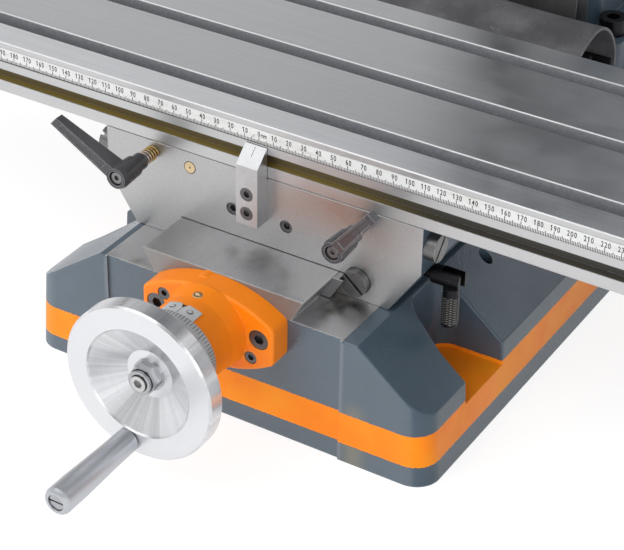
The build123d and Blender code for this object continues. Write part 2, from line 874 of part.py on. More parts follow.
def make_cross_feed():
    """Bracket, bearings, leadscrew, dial and handwheel of the cross feed."""
    flange_front = panel_front - bracket_thickness
    boss_front = flange_front - boss_length
    ends = bracket_end_half_height
    half = bracket_half_length
    top = ThreePointArc((-half, ends), (0, bracket_half_height), (half, ends))
    low = ThreePointArc((half, -ends), (0, -bracket_half_height), (-half, -ends))
    right = Line((half, ends), (half, -ends))
    left = Line((-half, -ends), (-half, ends))
    outline = make_face([top, right, low, left])
    flange = extrude(outline, bracket_thickness)
    flange = fillet(flange.edges().filter_by(Axis.Z), bracket_corner_round)
    front_edges = flange.faces().sort_by(Axis.Z)[-1].edges()
    flange = fillet(front_edges, bracket_edge_round)
    flare = boss_radius + boss_flare
    foot = bracket_thickness
    boss = turned([(0, foot - 1), (flare, foot - 1), (flare, foot), (boss_radius, foot + boss_flare_length),
                   (boss_radius, foot + boss_length), (0, foot + boss_length)])
    lug_y = bracket_half_height + bracket_lug_rise - bracket_lug_radius
    lug = Pos(bracket_lug_x, lug_y, bracket_lug_depth / 2) * Cylinder(bracket_lug_radius, bracket_lug_depth)
    bracket = flange + boss + lug
    bearing_room = 2 * bearing_length + collar_length + 4 * slide_clearance
    bracket -= Pos(0, 0, bearing_room / 2) * Cylinder(bearing_radius, bearing_room)
    bracket -= Cylinder(journal_radius + running_clearance, 4 * (bracket_thickness + boss_length))
    bracket = facing_front(0, panel_front, cross_screw_height) * bracket
    screws = []
    for x, z, radius, length in bracket_screw_places():
        head = 1.6 * radius + loose_gap
        seat = flange_front + bracket_screw_sink + 2 * radius
        bracket -= rod("y", (x, z), flange_front - 2 * radius, seat, head)
        bracket -= rod("y", (x, z), seat - 1, panel_front + 1, radius + loose_gap)
        screws.append(facing_front(x, seat, z) * cap_screw(radius, length))
    oiler_top = cross_screw_height + boss_radius
    bracket -= rod("z", (0, boss_front + oiler_setback), oiler_top - oiler_depth, oiler_top + 1, oiler_radius)
    pieces["cross_bracket"] = bracket
    pieces["bracket_screws"] = group(*screws)
    pieces["index_plate"] = facing_front(0, boss_front, cross_screw_height) * index_plate()

    ring = turned([(journal_radius + 0.2, 0), (bearing_radius, 0), (bearing_radius, bearing_length),
                   (journal_radius + 0.2, bearing_length)])
    rear_ring = facing_front(0, panel_front, cross_screw_height) * ring
    front_offset = bearing_length + collar_length + 4 * slide_clearance
    front_ring = facing_front(0, panel_front - front_offset, cross_screw_height) * ring
    pieces["cross_bearings"] = group(rear_ring, front_ring)

    dial_back = boss_front - dial_gap
    place = facing_front(0, dial_back, cross_screw_height)
    collar_back = panel_front - bearing_length - 2 * slide_clearance
    screw_rear = foot_front - cross_screw_end_gap
    screw = place * screw_end(dial_back - panel_front)
    screw += rod("y", (0, cross_screw_height), collar_back - collar_length, collar_back, collar_radius)
    screw += rod("y", (0, cross_screw_height), panel_front, screw_rear, screw_radius)
    pieces["cross_leadscrew"] = screw
    pieces["cross_dial"] = place * dial()
    wheel_place = place * Pos(0, 0, dial_length)
    pieces["cross_handwheel"] = wheel_place * handwheel()
    pieces["cross_wheel_fasteners"] = group(*[wheel_place * solid for solid in wheel_fasteners()])
    pieces["cross_grip"] = wheel_place * grip_place() * Pos(0, 0, dial_gap) * grip()


def index_plate():
    """Curved plate with a notch at zero, on top of the boss; local +Z points at the operator."""
    outer = boss_radius + index_thickness
    ring = turned([(boss_radius, -index_length), (outer, -index_length), (outer, -0.4), (boss_radius, -0.4)])
    spread = math.tan(math.radians(index_half_angle))
    sector = [(0, 0), (2 * outer * spread, 2 * outer), (-2 * outer * spread, 2 * outer)]
    plate = ring & prism("z", sector, -index_length - 1, 1)
    notch = [(-index_notch_half_width, -index_length), (index_notch_half_width, -index_length),
             (0, index_notch_depth - index_length)]
    plate -= Pos(0, outer, 0) * Rot(90, 0, 0) * prism("z", notch, -5, 5)
    solids = [plate]
    for turn in (-index_rivet_angle, index_rivet_angle):
        rivet = turned([(0, 0), (index_rivet_radius, 0), (index_rivet_radius * 0.8, index_rivet_height * 0.7),
                        (0, index_rivet_height)])
        solids.append(Rot(0, 0, turn) * Pos(0, outer, -index_length / 2) * Rot(-90, 0, 0) * rivet)
    return group(*solids)


def gib_screw_places():
    """Slotted gib screws, one at each end of each gib: (placement on the saddle, depth of the head)."""
    cross_z = way_top - gib_screw_bite
    cross_x = way_edge(cross_z) + gib_run + gib_screw_head_radius - gib_screw_bite
    table_z = table_foot + table_gib_screw_rise
    table_y = table_middle - slide_edge(table_z) - gib_run - gib_screw_head_radius + gib_screw_bite
    front = facing_front(cross_x, saddle_front, cross_z)
    rear = Pos(cross_x, saddle_rear, cross_z) * Rot(-90, 0, 0)
    right = facing_right(saddle_half_width, table_y, table_z)
    left = facing_left(-saddle_half_width, table_y, table_z)
    cross = [(place, cross_gib_screw_sink) for place in (front, rear)]
    return cross + [(place, table_gib_screw_sink) for place in (right, left)]


def gib_screw_room(sink):
    """Counterbore that clears a gib screw's head."""
    depth = gib_screw_head_height + sink
    return Pos(0, 0, gib_screw_head_height - depth / 2) * Cylinder(gib_screw_head_radius + loose_gap, depth)


def make_saddle():
    half = saddle_half_width
    skirt = saddle_bottom + saddle_skirt_height
    outline = [(saddle_foot_half_width, saddle_bottom), (half, skirt), (half, saddle_top),
               (-half, saddle_top), (-half, skirt), (-saddle_foot_half_width, saddle_bottom)]
    body = prism("y", outline, saddle_front, saddle_rear)
    body = fillet(edges_along(body, "y", saddle_foot_half_width, saddle_bottom), saddle_edge_round)
    body = fillet(edges_along(body, "y", half, skirt), saddle_edge_round)
    ends = body.faces().sort_by(Axis.Y)
    body = chamfer(list(ends[0].edges()) + list(ends[-1].edges()), saddle_edge_chamfer)
    roof = way_top + roof_gap
    low = saddle_bottom - 1
    gib_room = flank_clearance + gib_run
    body -= prism("y", [(-way_edge(low) - flank_clearance, low), (way_edge(low) + gib_room, low),
                        (way_edge(roof) + gib_room, roof), (-way_edge(roof) - flank_clearance, roof)],
                  saddle_front - 1, saddle_rear + 1)
    floor = table_foot - roof_gap
    high = saddle_top + 1
    front_edge = [table_middle - slide_edge(z) - flank_clearance - gib_run for z in (floor, high)]
    rear_edge = [table_middle + slide_edge(z) + flank_clearance for z in (floor, high)]
    body -= prism("x", [(front_edge[0], floor), (rear_edge[0], floor), (rear_edge[1], high),
                        (front_edge[1], high)], -half - 1, half + 1)
    groove = table_screw_groove_half_width
    body -= box((-half - 1, half + 1), (table_middle - groove, table_middle + groove),
                (table_screw_floor, floor + 1))
    for place, sink in gib_screw_places():
        depth = gib_screw_length + sink
        body -= place * Pos(0, 0, -depth / 2) * Cylinder(gib_screw_radius, depth)
        if sink > 0:
            body -= place * gib_screw_room(sink)
    for side, x, lever_z, angle, standoff in lever_places():
        body -= rod("y", (x, lever_z), saddle_front - 1, front_edge[0] + 30, stud_radius + running_clearance)
    lock_y = saddle_front + cross_lock_setback
    lock_z = saddle_top - cross_lock_drop
    lock_tip = half - cross_lock_inset
    body -= rod("x", (lock_y, lock_z), lock_tip - 8, half + 1, cross_lock_radius + running_clearance)
    body -= rod("z", (lock_tip - 4, lock_y), roof - 1, lock_z, lock_plug_radius)
    set_z = saddle_top - set_screw_drop
    for x in (-set_screw_x, set_screw_x):
        hole_depth = set_screw_length + set_screw_sink
        body -= rod("y", (x, set_z), saddle_front - 1, saddle_front + hole_depth, set_screw_radius)
    oil_z = saddle_top - oil_hole_drop
    body -= rod("y", (oil_hole_x, oil_z), saddle_front - 1, saddle_front + oil_hole_depth, oil_hole_radius)
    for z in pointer_screw_heights():
        depth = pointer_screw_length - pointer_depth + 6
        body -= rod("y", (pointer_centre_x, z), saddle_front - 1, saddle_front + depth, pointer_screw_radius)
    pieces["saddle"] = body

    base_flank = way_height + roof_gap
    cross_gib = prism("y", [(way_edge(base_flank) + flank_clearance, base_flank),
                            (way_edge(base_flank) + flank_clearance + gib_run, base_flank),
                            (way_edge(way_top) + flank_clearance + gib_run, way_top),
                            (way_edge(way_top) + flank_clearance, way_top)],
                      saddle_front - gib_overhang, saddle_rear)
    for place, sink in gib_screw_places()[:2]:
        cross_gib -= place * gib_screw_room(sink)
    gib_floor = table_foot
    gib_roof = table_bottom - roof_gap
    inner = [table_middle - slide_edge(z) - flank_clearance for z in (gib_floor, gib_roof)]
    table_gib = prism("x", [(inner[0], gib_floor), (inner[1], gib_roof), (inner[1] - gib_run, gib_roof),
                            (inner[0] - gib_run, gib_floor)], -half, half)
    pieces["saddle_gibs"] = group(cross_gib, table_gib)

    screws = []
    for place, sink in gib_screw_places():
        head = slotted_screw(gib_screw_radius, gib_screw_length, gib_screw_head_radius, gib_screw_head_height)
        screws.append(place * Pos(0, 0, -sink) * Rot(0, 0, gib_screw_slot_angle) * head)
    for x in (-set_screw_x, set_screw_x):
        end = saddle_front + set_screw_sink
        plug = Pos(0, 0, -set_screw_length / 2) * Cylinder(set_screw_radius, set_screw_length)
        screws.append(facing_front(x, end, set_z) * (plug - hexagon(set_screw_radius, -3, 1)))
    for z in pointer_screw_heights():
        seat = saddle_front - pointer_depth + 2 * pointer_screw_radius
        screw = cap_screw(pointer_screw_radius, pointer_screw_length)
        screws.append(facing_front(pointer_centre_x, seat, z) * screw)
    plug = rod("z", (lock_tip - 4, lock_y), way_top + slide_clearance, lock_z - cross_lock_radius - loose_gap,
               lock_plug_radius)
    screws.append(plug)
    pieces["saddle_screws"] = group(*screws)


def pointer_screw_heights():
    top = saddle_top - (pointer_bottom_drop - pointer_screw_pitch) / 2
    return (top, top - pointer_screw_pitch)


def make_pointer():
    """Block that carries the table's zero mark; its upper part stands clear of the moving table."""
    front = saddle_front - pointer_depth
    bottom = saddle_top - pointer_bottom_drop
    top = saddle_top + pointer_rise
    gap = saddle_front - loose_gap
    side = [(saddle_front, bottom), (front, bottom), (front, top - pointer_bevel), (gap, top),
            (gap, saddle_top - 1), (saddle_front, saddle_top - 1)]
    block = prism("x", side, pointer_centre_x - pointer_width / 2, pointer_centre_x + pointer_width / 2)
    head = 1.6 * pointer_screw_radius + loose_gap / 2
    hole = pointer_screw_radius + loose_gap / 2
    seat = front + 2 * pointer_screw_radius
    for z in pointer_screw_heights():
        block -= rod("y", (pointer_centre_x, z), front - 1, seat, head)
        block -= rod("y", (pointer_centre_x, z), front, saddle_front + 1, hole)
    pieces["pointer_block"] = block


def make_feed_nuts():
    """The cross nut hangs into the base's slot; the table nut stands in the table's groove."""
    roof = way_top + roof_gap
    nut_front = saddle_front + cross_nut_setback
    cross_nut = box((-cross_nut_half_width, cross_nut_half_width), (nut_front, nut_front + cross_nut_length),
                    (roof - cross_nut_depth, roof))
    cross_nut -= rod("y", (0, cross_screw_height), nut_front - 1, nut_front + cross_nut_length + 1,
                     screw_radius + running_clearance)
    nut_top = table_screw_height + screw_radius + table_nut_roof
    nut_y = (table_middle - table_nut_half_width, table_middle + table_nut_half_width)
    table_nut = box((-table_nut_length / 2, table_nut_length / 2), nut_y, (table_screw_floor, nut_top))
    table_nut -= rod("x", (table_middle, table_screw_height), -table_nut_length, table_nut_length,
                     screw_radius + running_clearance)
    pieces["feed_nuts"] = group(cross_nut, table_nut)


def clamp_lever():
    """Adjustable clamp lever about local Z: the neck end is z = 0 and the arm points along local X."""
    neck = lever_neck_length
    hub = turned([(stud_radius, 0), (lever_neck_radius, 0), (lever_neck_radius, neck),
                  (lever_hub_radius - 0.8, neck + 1.5), (lever_hub_radius, lever_hub_length - 3),
                  (lever_hub_radius - 0.8, lever_hub_length), (lever_recess_radius, lever_hub_length),
                  (lever_recess_radius, lever_hub_length - lever_recess_depth),
                  (stud_radius, lever_hub_length - lever_recess_depth)])
    root_top = lever_hub_length - 0.5
    tip_top = root_top + lever_arm_rise
    root = lever_section(0, root_top - lever_arm_depth, root_top, lever_arm_width)
    tip = lever_section(lever_arm_length, tip_top - lever_tip_depth, tip_top, lever_tip_width)
    arm = Solid.make_loft([root, tip], ruled=True)
    start = lever_hub_radius + 3
    slope = lever_arm_rise / lever_arm_length
    floor = [root_top + slope * x - lever_arm_groove for x in (start, lever_arm_length - 5)]
    near = lever_section(start, floor[0], floor[0] + 3, lever_arm_width - 2 * lever_arm_border - 0.3)
    far = lever_section(lever_arm_length - 5, floor[1], floor[1] + 3, lever_tip_width - 2 * lever_arm_border)
    arm -= Solid.make_loft([near, far], ruled=True)
    arm -= Pos(0, 0, lever_hub_length / 2) * Cylinder(lever_hub_radius - 1, 4 * lever_hub_length)
    return hub + arm


def lever_section(x, low, high, width):
    """Upright rectangle across a lever's arm, at a distance from its hub."""
    half = width / 2
    return Wire.make_polygon([(x, -half, low), (x, half, low), (x, half, high), (x, -half, high)])


def lever_places():
    """The two clamp levers: (side, x, z, angle of the arm, how far the hub stands off the saddle)."""
    left_z = saddle_top - lever_left_drop
    right_z = saddle_top - lever_right_drop
    return (("left", lever_left_x, left_z, lever_left_angle, lever_left_standoff),
            ("right", lever_right_x, right_z, lever_right_angle, lever_right_standoff))


def clamp_stud(lever_z, standoff):
    """Stud of a clamp lever about the lever's local Z; it runs through the saddle wall to the gib."""
    near_gib = table_middle - slide_edge(lever_z - stud_radius) - flank_clearance - gib_run
    tip = saddle_front - near_gib - standoff + slide_clearance
    seat = lever_hub_length - lever_recess_depth
    stud = turned([(0, tip), (stud_radius, tip), (stud_radius, seat), (stud_head_radius, seat),
                   (stud_head_radius, seat + stud_head_height), (0, seat + stud_head_height)])
    return stud - hexagon(stud_radius, seat + 1, seat + stud_head_height + 1)


def coil_spring(length):
    """Open coil spring about local Z, as one unbroken wire from z = 0 to its length."""
    start = spring_wire_radius + loose_gap / 2
    pitch = (length - 2 * start) / spring_turns

    def place(turn):
        angle = 2 * math.pi * turn
        return Vector(spring_coil_radius * math.cos(angle), spring_coil_radius * math.sin(angle),
                      start + pitch * turn)

    def heading(turn):
        angle = 2 * math.pi * turn
        climb = pitch / (2 * math.pi)
        return Vector(-spring_coil_radius * math.sin(angle), spring_coil_radius * math.cos(angle),
                      climb).normalized()

    path = []
    quarters = round(spring_turns * 4)
    for n in range(quarters):
        path += two_arcs(place(n / 4), heading(n / 4), place((n + 1) / 4), heading((n + 1) / 4))
    section = Plane(origin=place(0), z_dir=heading(0)) * Circle(spring_wire_radius)
    spring = sweep(section, path=Wire(path))
    points = [place(n / 24) for n in range(round(spring_turns * 24) + 1)]
    spans = [(points[i] - points[j]).length for i in range(len(points)) for j in range(i + 12, len(points))]
    print("spring: least gap to itself", round(min(spans) - 2 * spring_wire_radius, 2), "mm")
    return spring


def two_arcs(start, start_heading, end, end_heading):
    """Two arcs that join two points smoothly with the given headings."""
    across = end - start
    both = start_heading + end_heading
    a = both.dot(both) - 4
    b = -2 * across.dot(both)
    c = across.dot(across)
    reach = (-b - math.sqrt(b * b - 4 * a * c)) / (2 * a)
    first = start + start_heading * reach
    second = end - end_heading * reach
    middle = (first + second) * 0.5
    turn = (second - first).normalized()
    return [Edge.make_tangent_arc(start, start_heading, middle), Edge.make_tangent_arc(middle, turn, end)]


def make_locks():
    """Table clamp levers on the saddle's front and the cross slide's lock on its right side."""
    for side, x, lever_z, angle, standoff in lever_places():
        place = facing_front(x, saddle_front - standoff, lever_z) * Rot(0, 0, angle)
        pieces["lock_lever_" + side] = place * clamp_lever()
        pieces["lock_stud_" + side] = place * clamp_stud(lever_z, standoff)
    spring_place = facing_front(lever_left_x, saddle_front, saddle_top - lever_left_drop)
    pieces["lock_spring_left"] = spring_place * coil_spring(lever_left_standoff)

    lock_y = saddle_front + cross_lock_setback
    lock_z = saddle_top - cross_lock_drop
    tip = saddle_half_width - cross_lock_inset
    head_start = saddle_half_width + loose_gap
    head_end = head_start + cross_lock_head_length
    half_width = cross_lock_head_radius
    handle_x = head_start + cross_lock_handle_x
    screw = rod("x", (lock_y, lock_z), tip, head_start + 1, cross_lock_radius)
    screw += rod("x", (lock_y, lock_z), head_start, head_end, cross_lock_head_radius)
    slot_half = cross_lock_handle_radius * 0.62
    slot_start = handle_x - cross_lock_handle_radius - 1
    screw -= box((slot_start, head_end + 1), (lock_y - slot_half, lock_y + slot_half),
                 (lock_z - half_width - 1, lock_z + half_width + 1))
    tongue_half = slot_half - slide_clearance
    handle = rod("z", (handle_x, lock_y), lock_z - cross_lock_handle_length, lock_z - half_width - loose_gap,
                 cross_lock_handle_radius)
    handle += box((handle_x - tongue_half, handle_x + tongue_half),
                  (lock_y - tongue_half, lock_y + tongue_half), (lock_z - half_width - 1, lock_z + tongue_half))
    pin = rod("y", (handle_x, lock_z), lock_y - half_width, lock_y + half_width,
              cross_lock_pin_radius)
    screw -= pin
    handle -= pin
    pieces["cross_lock"] = group(screw, handle, pin)


def make_table():
    half = table_width / 2
    rear = table_middle + half
    body = box((-table_end, table_end), (saddle_front, rear), (table_bottom, table_top))
    body = chamfer(body.edges(), table_edge_chamfer)
    root = slide_edge(table_bottom)
    foot = slide_edge(table_foot)
    body += prism("x", [(table_middle - root, table_bottom), (table_middle + root, table_bottom),
                        (table_middle + foot, table_foot), (table_middle - foot, table_foot)],
                  -table_end, table_end)
    neck_floor = table_top - t_slot_neck_depth
    slot_floor = neck_floor - t_slot_foot_depth
    for n in (-1, 0, 1):
        y = table_middle + n * t_slot_pitch
        neck = t_slot_neck / 2
        wide = t_slot_width / 2
        edge = t_slot_chamfer
        outline = [(y - neck - edge, table_top), (y - neck, table_top - edge), (y - neck, neck_floor),
                   (y - wide, neck_floor), (y - wide, slot_floor), (y + wide, slot_floor),
                   (y + wide, neck_floor), (y + neck, neck_floor), (y + neck, table_top - edge),
                   (y + neck + edge, table_top), (y + neck + edge, table_top + 1),
                   (y - neck - edge, table_top + 1)]
        body -= prism("x", outline, -table_end - 1, table_end + 1)
    groove_top = table_top - stop_groove_drop
    body -= box((-table_end - 1, table_end + 1), (saddle_front - 1, saddle_front + stop_groove_depth),
                (groove_top - stop_groove_height, groove_top))
    groove = table_screw_groove_half_width
    body -= box((-table_end - 1, table_end + 1), (table_middle - groove, table_middle + groove),
                (table_foot - 1, table_bottom + table_screw_groove_height))
    scale_top = table_top - scale_drop
    scale_x = (-scale_length / 2, scale_length / 2)
    scale_z = (scale_top - scale_height, scale_top)
    body -= box(scale_x, (saddle_front - 1, saddle_front + scale_recess), scale_z)
    strip_face = saddle_front + scale_recess - scale_thickness
    strip = box(scale_x, (strip_face, saddle_front + scale_recess), scale_z)
    solids = [strip]
    for x in (scale_x[0] + scale_rivet_offset, -scale_rivet_offset, scale_x[1] - scale_rivet_offset):
        rivet = turned([(0, 0), (scale_rivet_radius, 0), (scale_rivet_radius * 0.7, scale_rivet_height * 0.8),
                        (0, scale_rivet_height)])
        solids.append(facing_front(x, strip_face, scale_top - scale_rivet_drop) * rivet)
    for end in (-1, 1):
        for y, z in end_bracket_screw_places():
            depth = end_bracket_screw_length - end_bracket_thickness + 12
            inner = end * (table_end - depth)
            body -= rod("x", (y, z), min(inner, end * (table_end + 1)), max(inner, end * (table_end + 1)),
                        end_bracket_screw_radius)
    pieces["table"] = body
    pieces["scale_strip"] = group(*solids)


def end_bracket_screw_places():
    z = table_screw_height + 4
    return [(table_middle - end_bracket_screw_offset, z), (table_middle + end_bracket_screw_offset, z)]


def make_table_feed():
    """End brackets, leadscrew, dials and handwheels of the table."""
    bracket_z = (table_screw_height - end_bracket_drop, table_screw_height + end_bracket_rise)
    bracket_y = (table_middle - end_bracket_half_width, table_middle + end_bracket_half_width)
    outer = table_end + end_bracket_thickness
    brackets = []
    screws = []
    dials = []
    wheels = []
    fasteners = []
    leadscrew = rod("x", (table_middle, table_screw_height), -table_end + 1, table_end - 1, screw_radius)
    for end, facing in ((1, facing_right), (-1, facing_left)):
        bracket_x = (min(end * table_end, end * outer), max(end * table_end, end * outer))
        bracket = box(bracket_x, bracket_y, bracket_z)
        bracket = fillet(bracket.edges().filter_by(Axis.X), end_bracket_round)
        bracket -= rod("x", (table_middle, table_screw_height), bracket_x[0] - 1, bracket_x[1] + 1,
                       journal_radius + running_clearance)
        for y, z in end_bracket_screw_places():
            hole = rod("x", (y, z), bracket_x[0] - 1, bracket_x[1] + 1, end_bracket_screw_radius + loose_gap)
            bracket -= hole
            screw = cap_screw(end_bracket_screw_radius, end_bracket_screw_length + 4)
            screws.append(facing(end * outer, y, z) * screw)
        brackets.append(bracket)
        place = facing(end * (outer + dial_gap), table_middle, table_screw_height)
        leadscrew += place * screw_end(-end_bracket_thickness - dial_gap - 1)
        dials.append(place * dial())
        wheel_place = place * Pos(0, 0, dial_length)
        wheels.append(wheel_place * handwheel())
        fasteners += [wheel_place * solid for solid in wheel_fasteners()]
        name = "right" if end > 0 else "left"
        pieces["table_grip_" + name] = wheel_place * grip_place() * Pos(0, 0, dial_gap) * grip()
    pieces["table_brackets"] = group(*brackets)
    pieces["table_bracket_screws"] = group(*screws)
    pieces["table_leadscrew"] = leadscrew
    pieces["table_dials"] = group(*dials)
    pieces["table_handwheels"] = group(*wheels)
    pieces["table_wheel_fasteners"] = group(*fasteners)


def make_head_slide():
    rear = column_body_front - roof_gap
    z = (head_middle - head_slide_half_height, head_middle + head_slide_half_height)
    body = box((-head_slide_half_width, head_slide_half_width), (slide_front, rear), z)
    roof = column_front - slide_clearance
    past = column_body_front + 1
    body -= prism("z", [(-column_edge(roof) - flank_clearance, roof),
                        (column_edge(roof) + flank_clearance + gib_run, roof),
                        (column_edge(past) + flank_clearance + gib_run, past),
                        (-column_edge(past) - flank_clearance, past)], z[0] - 1, z[1] + 1)
    boss = turned([(0, 0), (swivel_boss_radius, 0), (swivel_boss_radius, swivel_boss_thickness),
                   (0, swivel_boss_thickness)])
    front = facing_front(0, slide_front, head_middle)
    body += front * boss
    spigot_middle = swivel_boss_thickness + spigot_length / 2
    body += front * Pos(0, 0, spigot_middle) * Cylinder(spigot_radius, spigot_length)
    neck = swivel_neck_half_width
    wide = swivel_foot_half_width
    top = swivel_boss_thickness
    slot = turned([(swivel_slot_radius - neck, top + 1), (swivel_slot_radius + neck, top + 1),
                   (swivel_slot_radius + neck, top - swivel_neck_depth),
                   (swivel_slot_radius + wide, top - swivel_neck_depth),
                   (swivel_slot_radius + wide, top - swivel_neck_depth - swivel_foot_depth),
                   (swivel_slot_radius - wide, top - swivel_neck_depth - swivel_foot_depth),
                   (swivel_slot_radius - wide, top - swivel_neck_depth),
                   (swivel_slot_radius - neck, top - swivel_neck_depth)])
    body -= front * slot
    lock_y = (column_front + rear) / 2
    lock_z = head_middle - head_lock_drop
    lock_in = column_edge(lock_y) + flank_clearance + gib_run
    body -= rod("x", (lock_y, lock_z), lock_in - 4, head_slide_half_width + 1,
                stud_radius + running_clearance)
    pieces["head_slide"] = body
    gib_front = roof + roof_gap
    gib = prism("z", [(column_edge(gib_front) + flank_clearance, gib_front),
                      (column_edge(gib_front) + flank_clearance + gib_run, gib_front),
                      (column_edge(rear) + flank_clearance + gib_run, rear),
                      (column_edge(rear) + flank_clearance, rear)], z[0], z[1])
    pieces["head_gib"] = gib
    nut = box((-lift_nut_half_width, lift_nut_half_width), (roof, roof + lift_nut_depth),
              (head_middle - lift_nut_half_height, head_middle + lift_nut_half_height))
    nut -= rod("z", (0, lift_screw_y), z[0], z[1], lift_screw_radius + running_clearance)
    pieces["lift_nut"] = nut
    # The stud's square end must clear the slanting gib at its nearest edge.
    near = column_edge(lock_y - stud_radius) + flank_clearance + gib_run + slide_clearance
    pieces["head_lock_lever"] = side_lever(head_slide_half_width, lock_y, lock_z, near, head_lock_arm, 1)


def side_lever(wall, y, z, stud_tip, arm, side):
    """Hand lever on a side wall, hanging down, with a stud that runs inwards to stud_tip."""
    root = wall + side * loose_gap
    facing = facing_right if side > 0 else facing_left
    length = side_lever_hub_length
    radius = side_lever_hub_radius
    hub = turned([(0, 0), (radius - 1, 0), (radius, 3), (radius, length - 3), (radius - 2, length),
                  (0, length)])
    lever = facing(root, y, z) * hub
    lever += rod("x", (y, z), min(stud_tip, root + side), max(stud_tip, root + side), stud_radius)
    middle = root + side * length * 0.6
    lever += rod("z", (middle, y), z - arm, z - radius / 2, side_lever_bar_radius)
    lever += Pos(middle, y, z - arm) * Sphere(side_lever_ball_radius)
    return lever


def make_head():
    half = head_half_width
    deck_rear = swivel_face - 2
    body_height = head_top_rise + head_bottom_drop
    body_middle = (head_front + neck_front) / 2
    outline = RectangleRounded(2 * half, neck_front - head_front, head_corner_radius)
    body = Pos(0, body_middle, head_bottom) * extrude(outline, body_height)
    deck_low = belt_floor - belt_room_floor
    body += box((-half, half), (body_middle, deck_rear), (deck_low, head_top))
    body += box((-head_neck_half_width, head_neck_half_width), (body_middle, swivel_face - 1),
                (head_middle - head_neck_bottom + 10, head_middle + head_neck_top))
    flange = turned([(0, 0), (swivel_boss_radius, 0), (swivel_boss_radius, head_flange_thickness),
                     (0, head_flange_thickness)])
    body += facing_front(0, swivel_face, head_middle) * flange
    body -= rod("y", (0, head_middle), swivel_face - spigot_length - 1, swivel_face + 1,
                spigot_radius + running_clearance)
    bore_top = deck_low
    body -= rod("z", (0, spindle_y), head_bottom - 1, bore_top, quill_radius + running_clearance)
    body -= rod("z", (0, spindle_y), bore_top - 1, belt_floor + 1,
                spindle_sleeve_radius + running_clearance)
    room_front = spindle_y - spindle_pulley_radius - belt_room_gap
    room = RectangleRounded(2 * belt_room_half_width, deck_rear - 8 - room_front, belt_room_corner)
    body -= Pos(0, (room_front + deck_rear - 8) / 2, belt_floor) * extrude(room, belt_room_depth + 1)
    body -= rod("x", (feed_shaft_y, feed_shaft_z), -feed_shaft_inset, half + 1,
                feed_shaft_radius + running_clearance)
    lock_z = head_middle - quill_lock_drop
    lock_y = spindle_y
    body -= rod("x", (lock_y, lock_z), -half - 1, -quill_radius + 4, stud_radius + running_clearance)
    bolts = []
    for turn in (30, 150, 210, 330):
        angle = math.radians(turn)
        x = swivel_slot_radius * math.cos(angle)
        z = head_middle + swivel_slot_radius * math.sin(angle)
        flange_front = swivel_face - head_flange_thickness
        body -= rod("y", (x, z), flange_front - 1, swivel_face + 1, swivel_bolt_radius + loose_gap)
        head_y = swivel_face + swivel_neck_depth + slide_clearance
        bolt = rod("y", (x, z), flange_front - swivel_bolt_overhang, head_y + 1, swivel_bolt_radius)
        bolt += rod("y", (x, z), head_y, head_y + swivel_bolt_head_height, swivel_bolt_head_radius)
        nut = facing_front(x, flange_front, z) * hexagon(swivel_nut_width, 0, swivel_nut_height)
        bolts.append(bolt + nut)
    pieces["head_casting"] = body
    pieces["swivel_bolts"] = group(*bolts)
    near_quill = -quill_radius - running_clearance - loose_gap
    pieces["quill_lock_lever"] = side_lever(-half, lock_y, lock_z, near_quill, quill_lock_arm, -1)


def make_drive():
    """Belt cover, motor, pulleys and belt on top of the head."""
    half = head_half_width + 2
    deck_rear = swivel_face - 2
    cover_front = head_front - 2
    outline = RectangleRounded(2 * half, deck_rear - cover_front, head_corner_radius)
    cover = Pos(0, (cover_front + deck_rear) / 2, head_top) * extrude(outline, cover_thickness)
    cap_top = cover_top + drawbar_cap_height
    cover += rod("z", (0, spindle_y), head_top + 1, cap_top, drawbar_cap_radius)
    cover -= rod("z", (0, spindle_y), head_top - 1, cap_top - drawbar_cap_wall,
                 drawbar_cap_radius - drawbar_cap_wall)
    cover -= rod("z", (0, motor_y), head_top - 1, cover_top + 1, motor_shaft_radius + 2)
    pieces["head_cover"] = cover

    bell_low = motor_flange_thickness
    bell_high = motor_height - motor_fan_cap_height
    shell = motor_radius
    profile = [(motor_shaft_radius + 2, 0), (shell, 0), (shell, bell_low), (shell - 4, bell_low + 2),
               (shell - 4, bell_high), (shell - 1, bell_high + 2), (shell - 1, motor_height - 8),
               (shell - 8, motor_height), (0, motor_height), (0, bell_high),
               (motor_shaft_radius + 2, bell_high)]
    motor = Pos(0, motor_y, cover_top) * turned(profile)
    pieces["motor"] = motor

    pulley_low = belt_floor + pulley_rise
    pulley_high = pulley_low + pulley_height
    groove_low = pulley_low + (pulley_height - belt_width) / 2 - 1
    groove_high = pulley_high - (pulley_height - belt_width) / 2 + 1

    def pulley(radius, bore):
        return turned([(bore, pulley_low), (radius + pulley_flange, pulley_low),
                       (radius + pulley_flange, groove_low), (radius, groove_low), (radius, groove_high),
                       (radius + pulley_flange, groove_high), (radius + pulley_flange, pulley_high),
                       (bore, pulley_high)])

    shaft_top = cover_top + motor_height - motor_fan_cap_height - loose_gap
    rotor = pulley(motor_pulley_radius, 0) + rod("z", (0, 0), pulley_low, shaft_top, motor_shaft_radius)
    pieces["motor_pulley"] = Pos(0, motor_y, 0) * rotor
    bore = spindle_radius + running_clearance
    sleeve_low = belt_floor - belt_room_floor
    sleeve = turned([(bore, sleeve_low), (spindle_sleeve_radius, sleeve_low),
                     (spindle_sleeve_radius, pulley_low + 1), (bore, pulley_low + 1)])
    pieces["spindle_pulley"] = Pos(0, spindle_y, 0) * (pulley(spindle_pulley_radius, bore) + sleeve)

    belt_low = (pulley_low + pulley_high - belt_width) / 2
    inner = belt_loop(loose_gap)
    outer = belt_loop(loose_gap + belt_thickness)
    belt = Pos(0, 0, belt_low) * extrude(outer, belt_width) - Pos(0, 0, belt_low) * extrude(inner, belt_width)
    pieces["drive_belt"] = belt


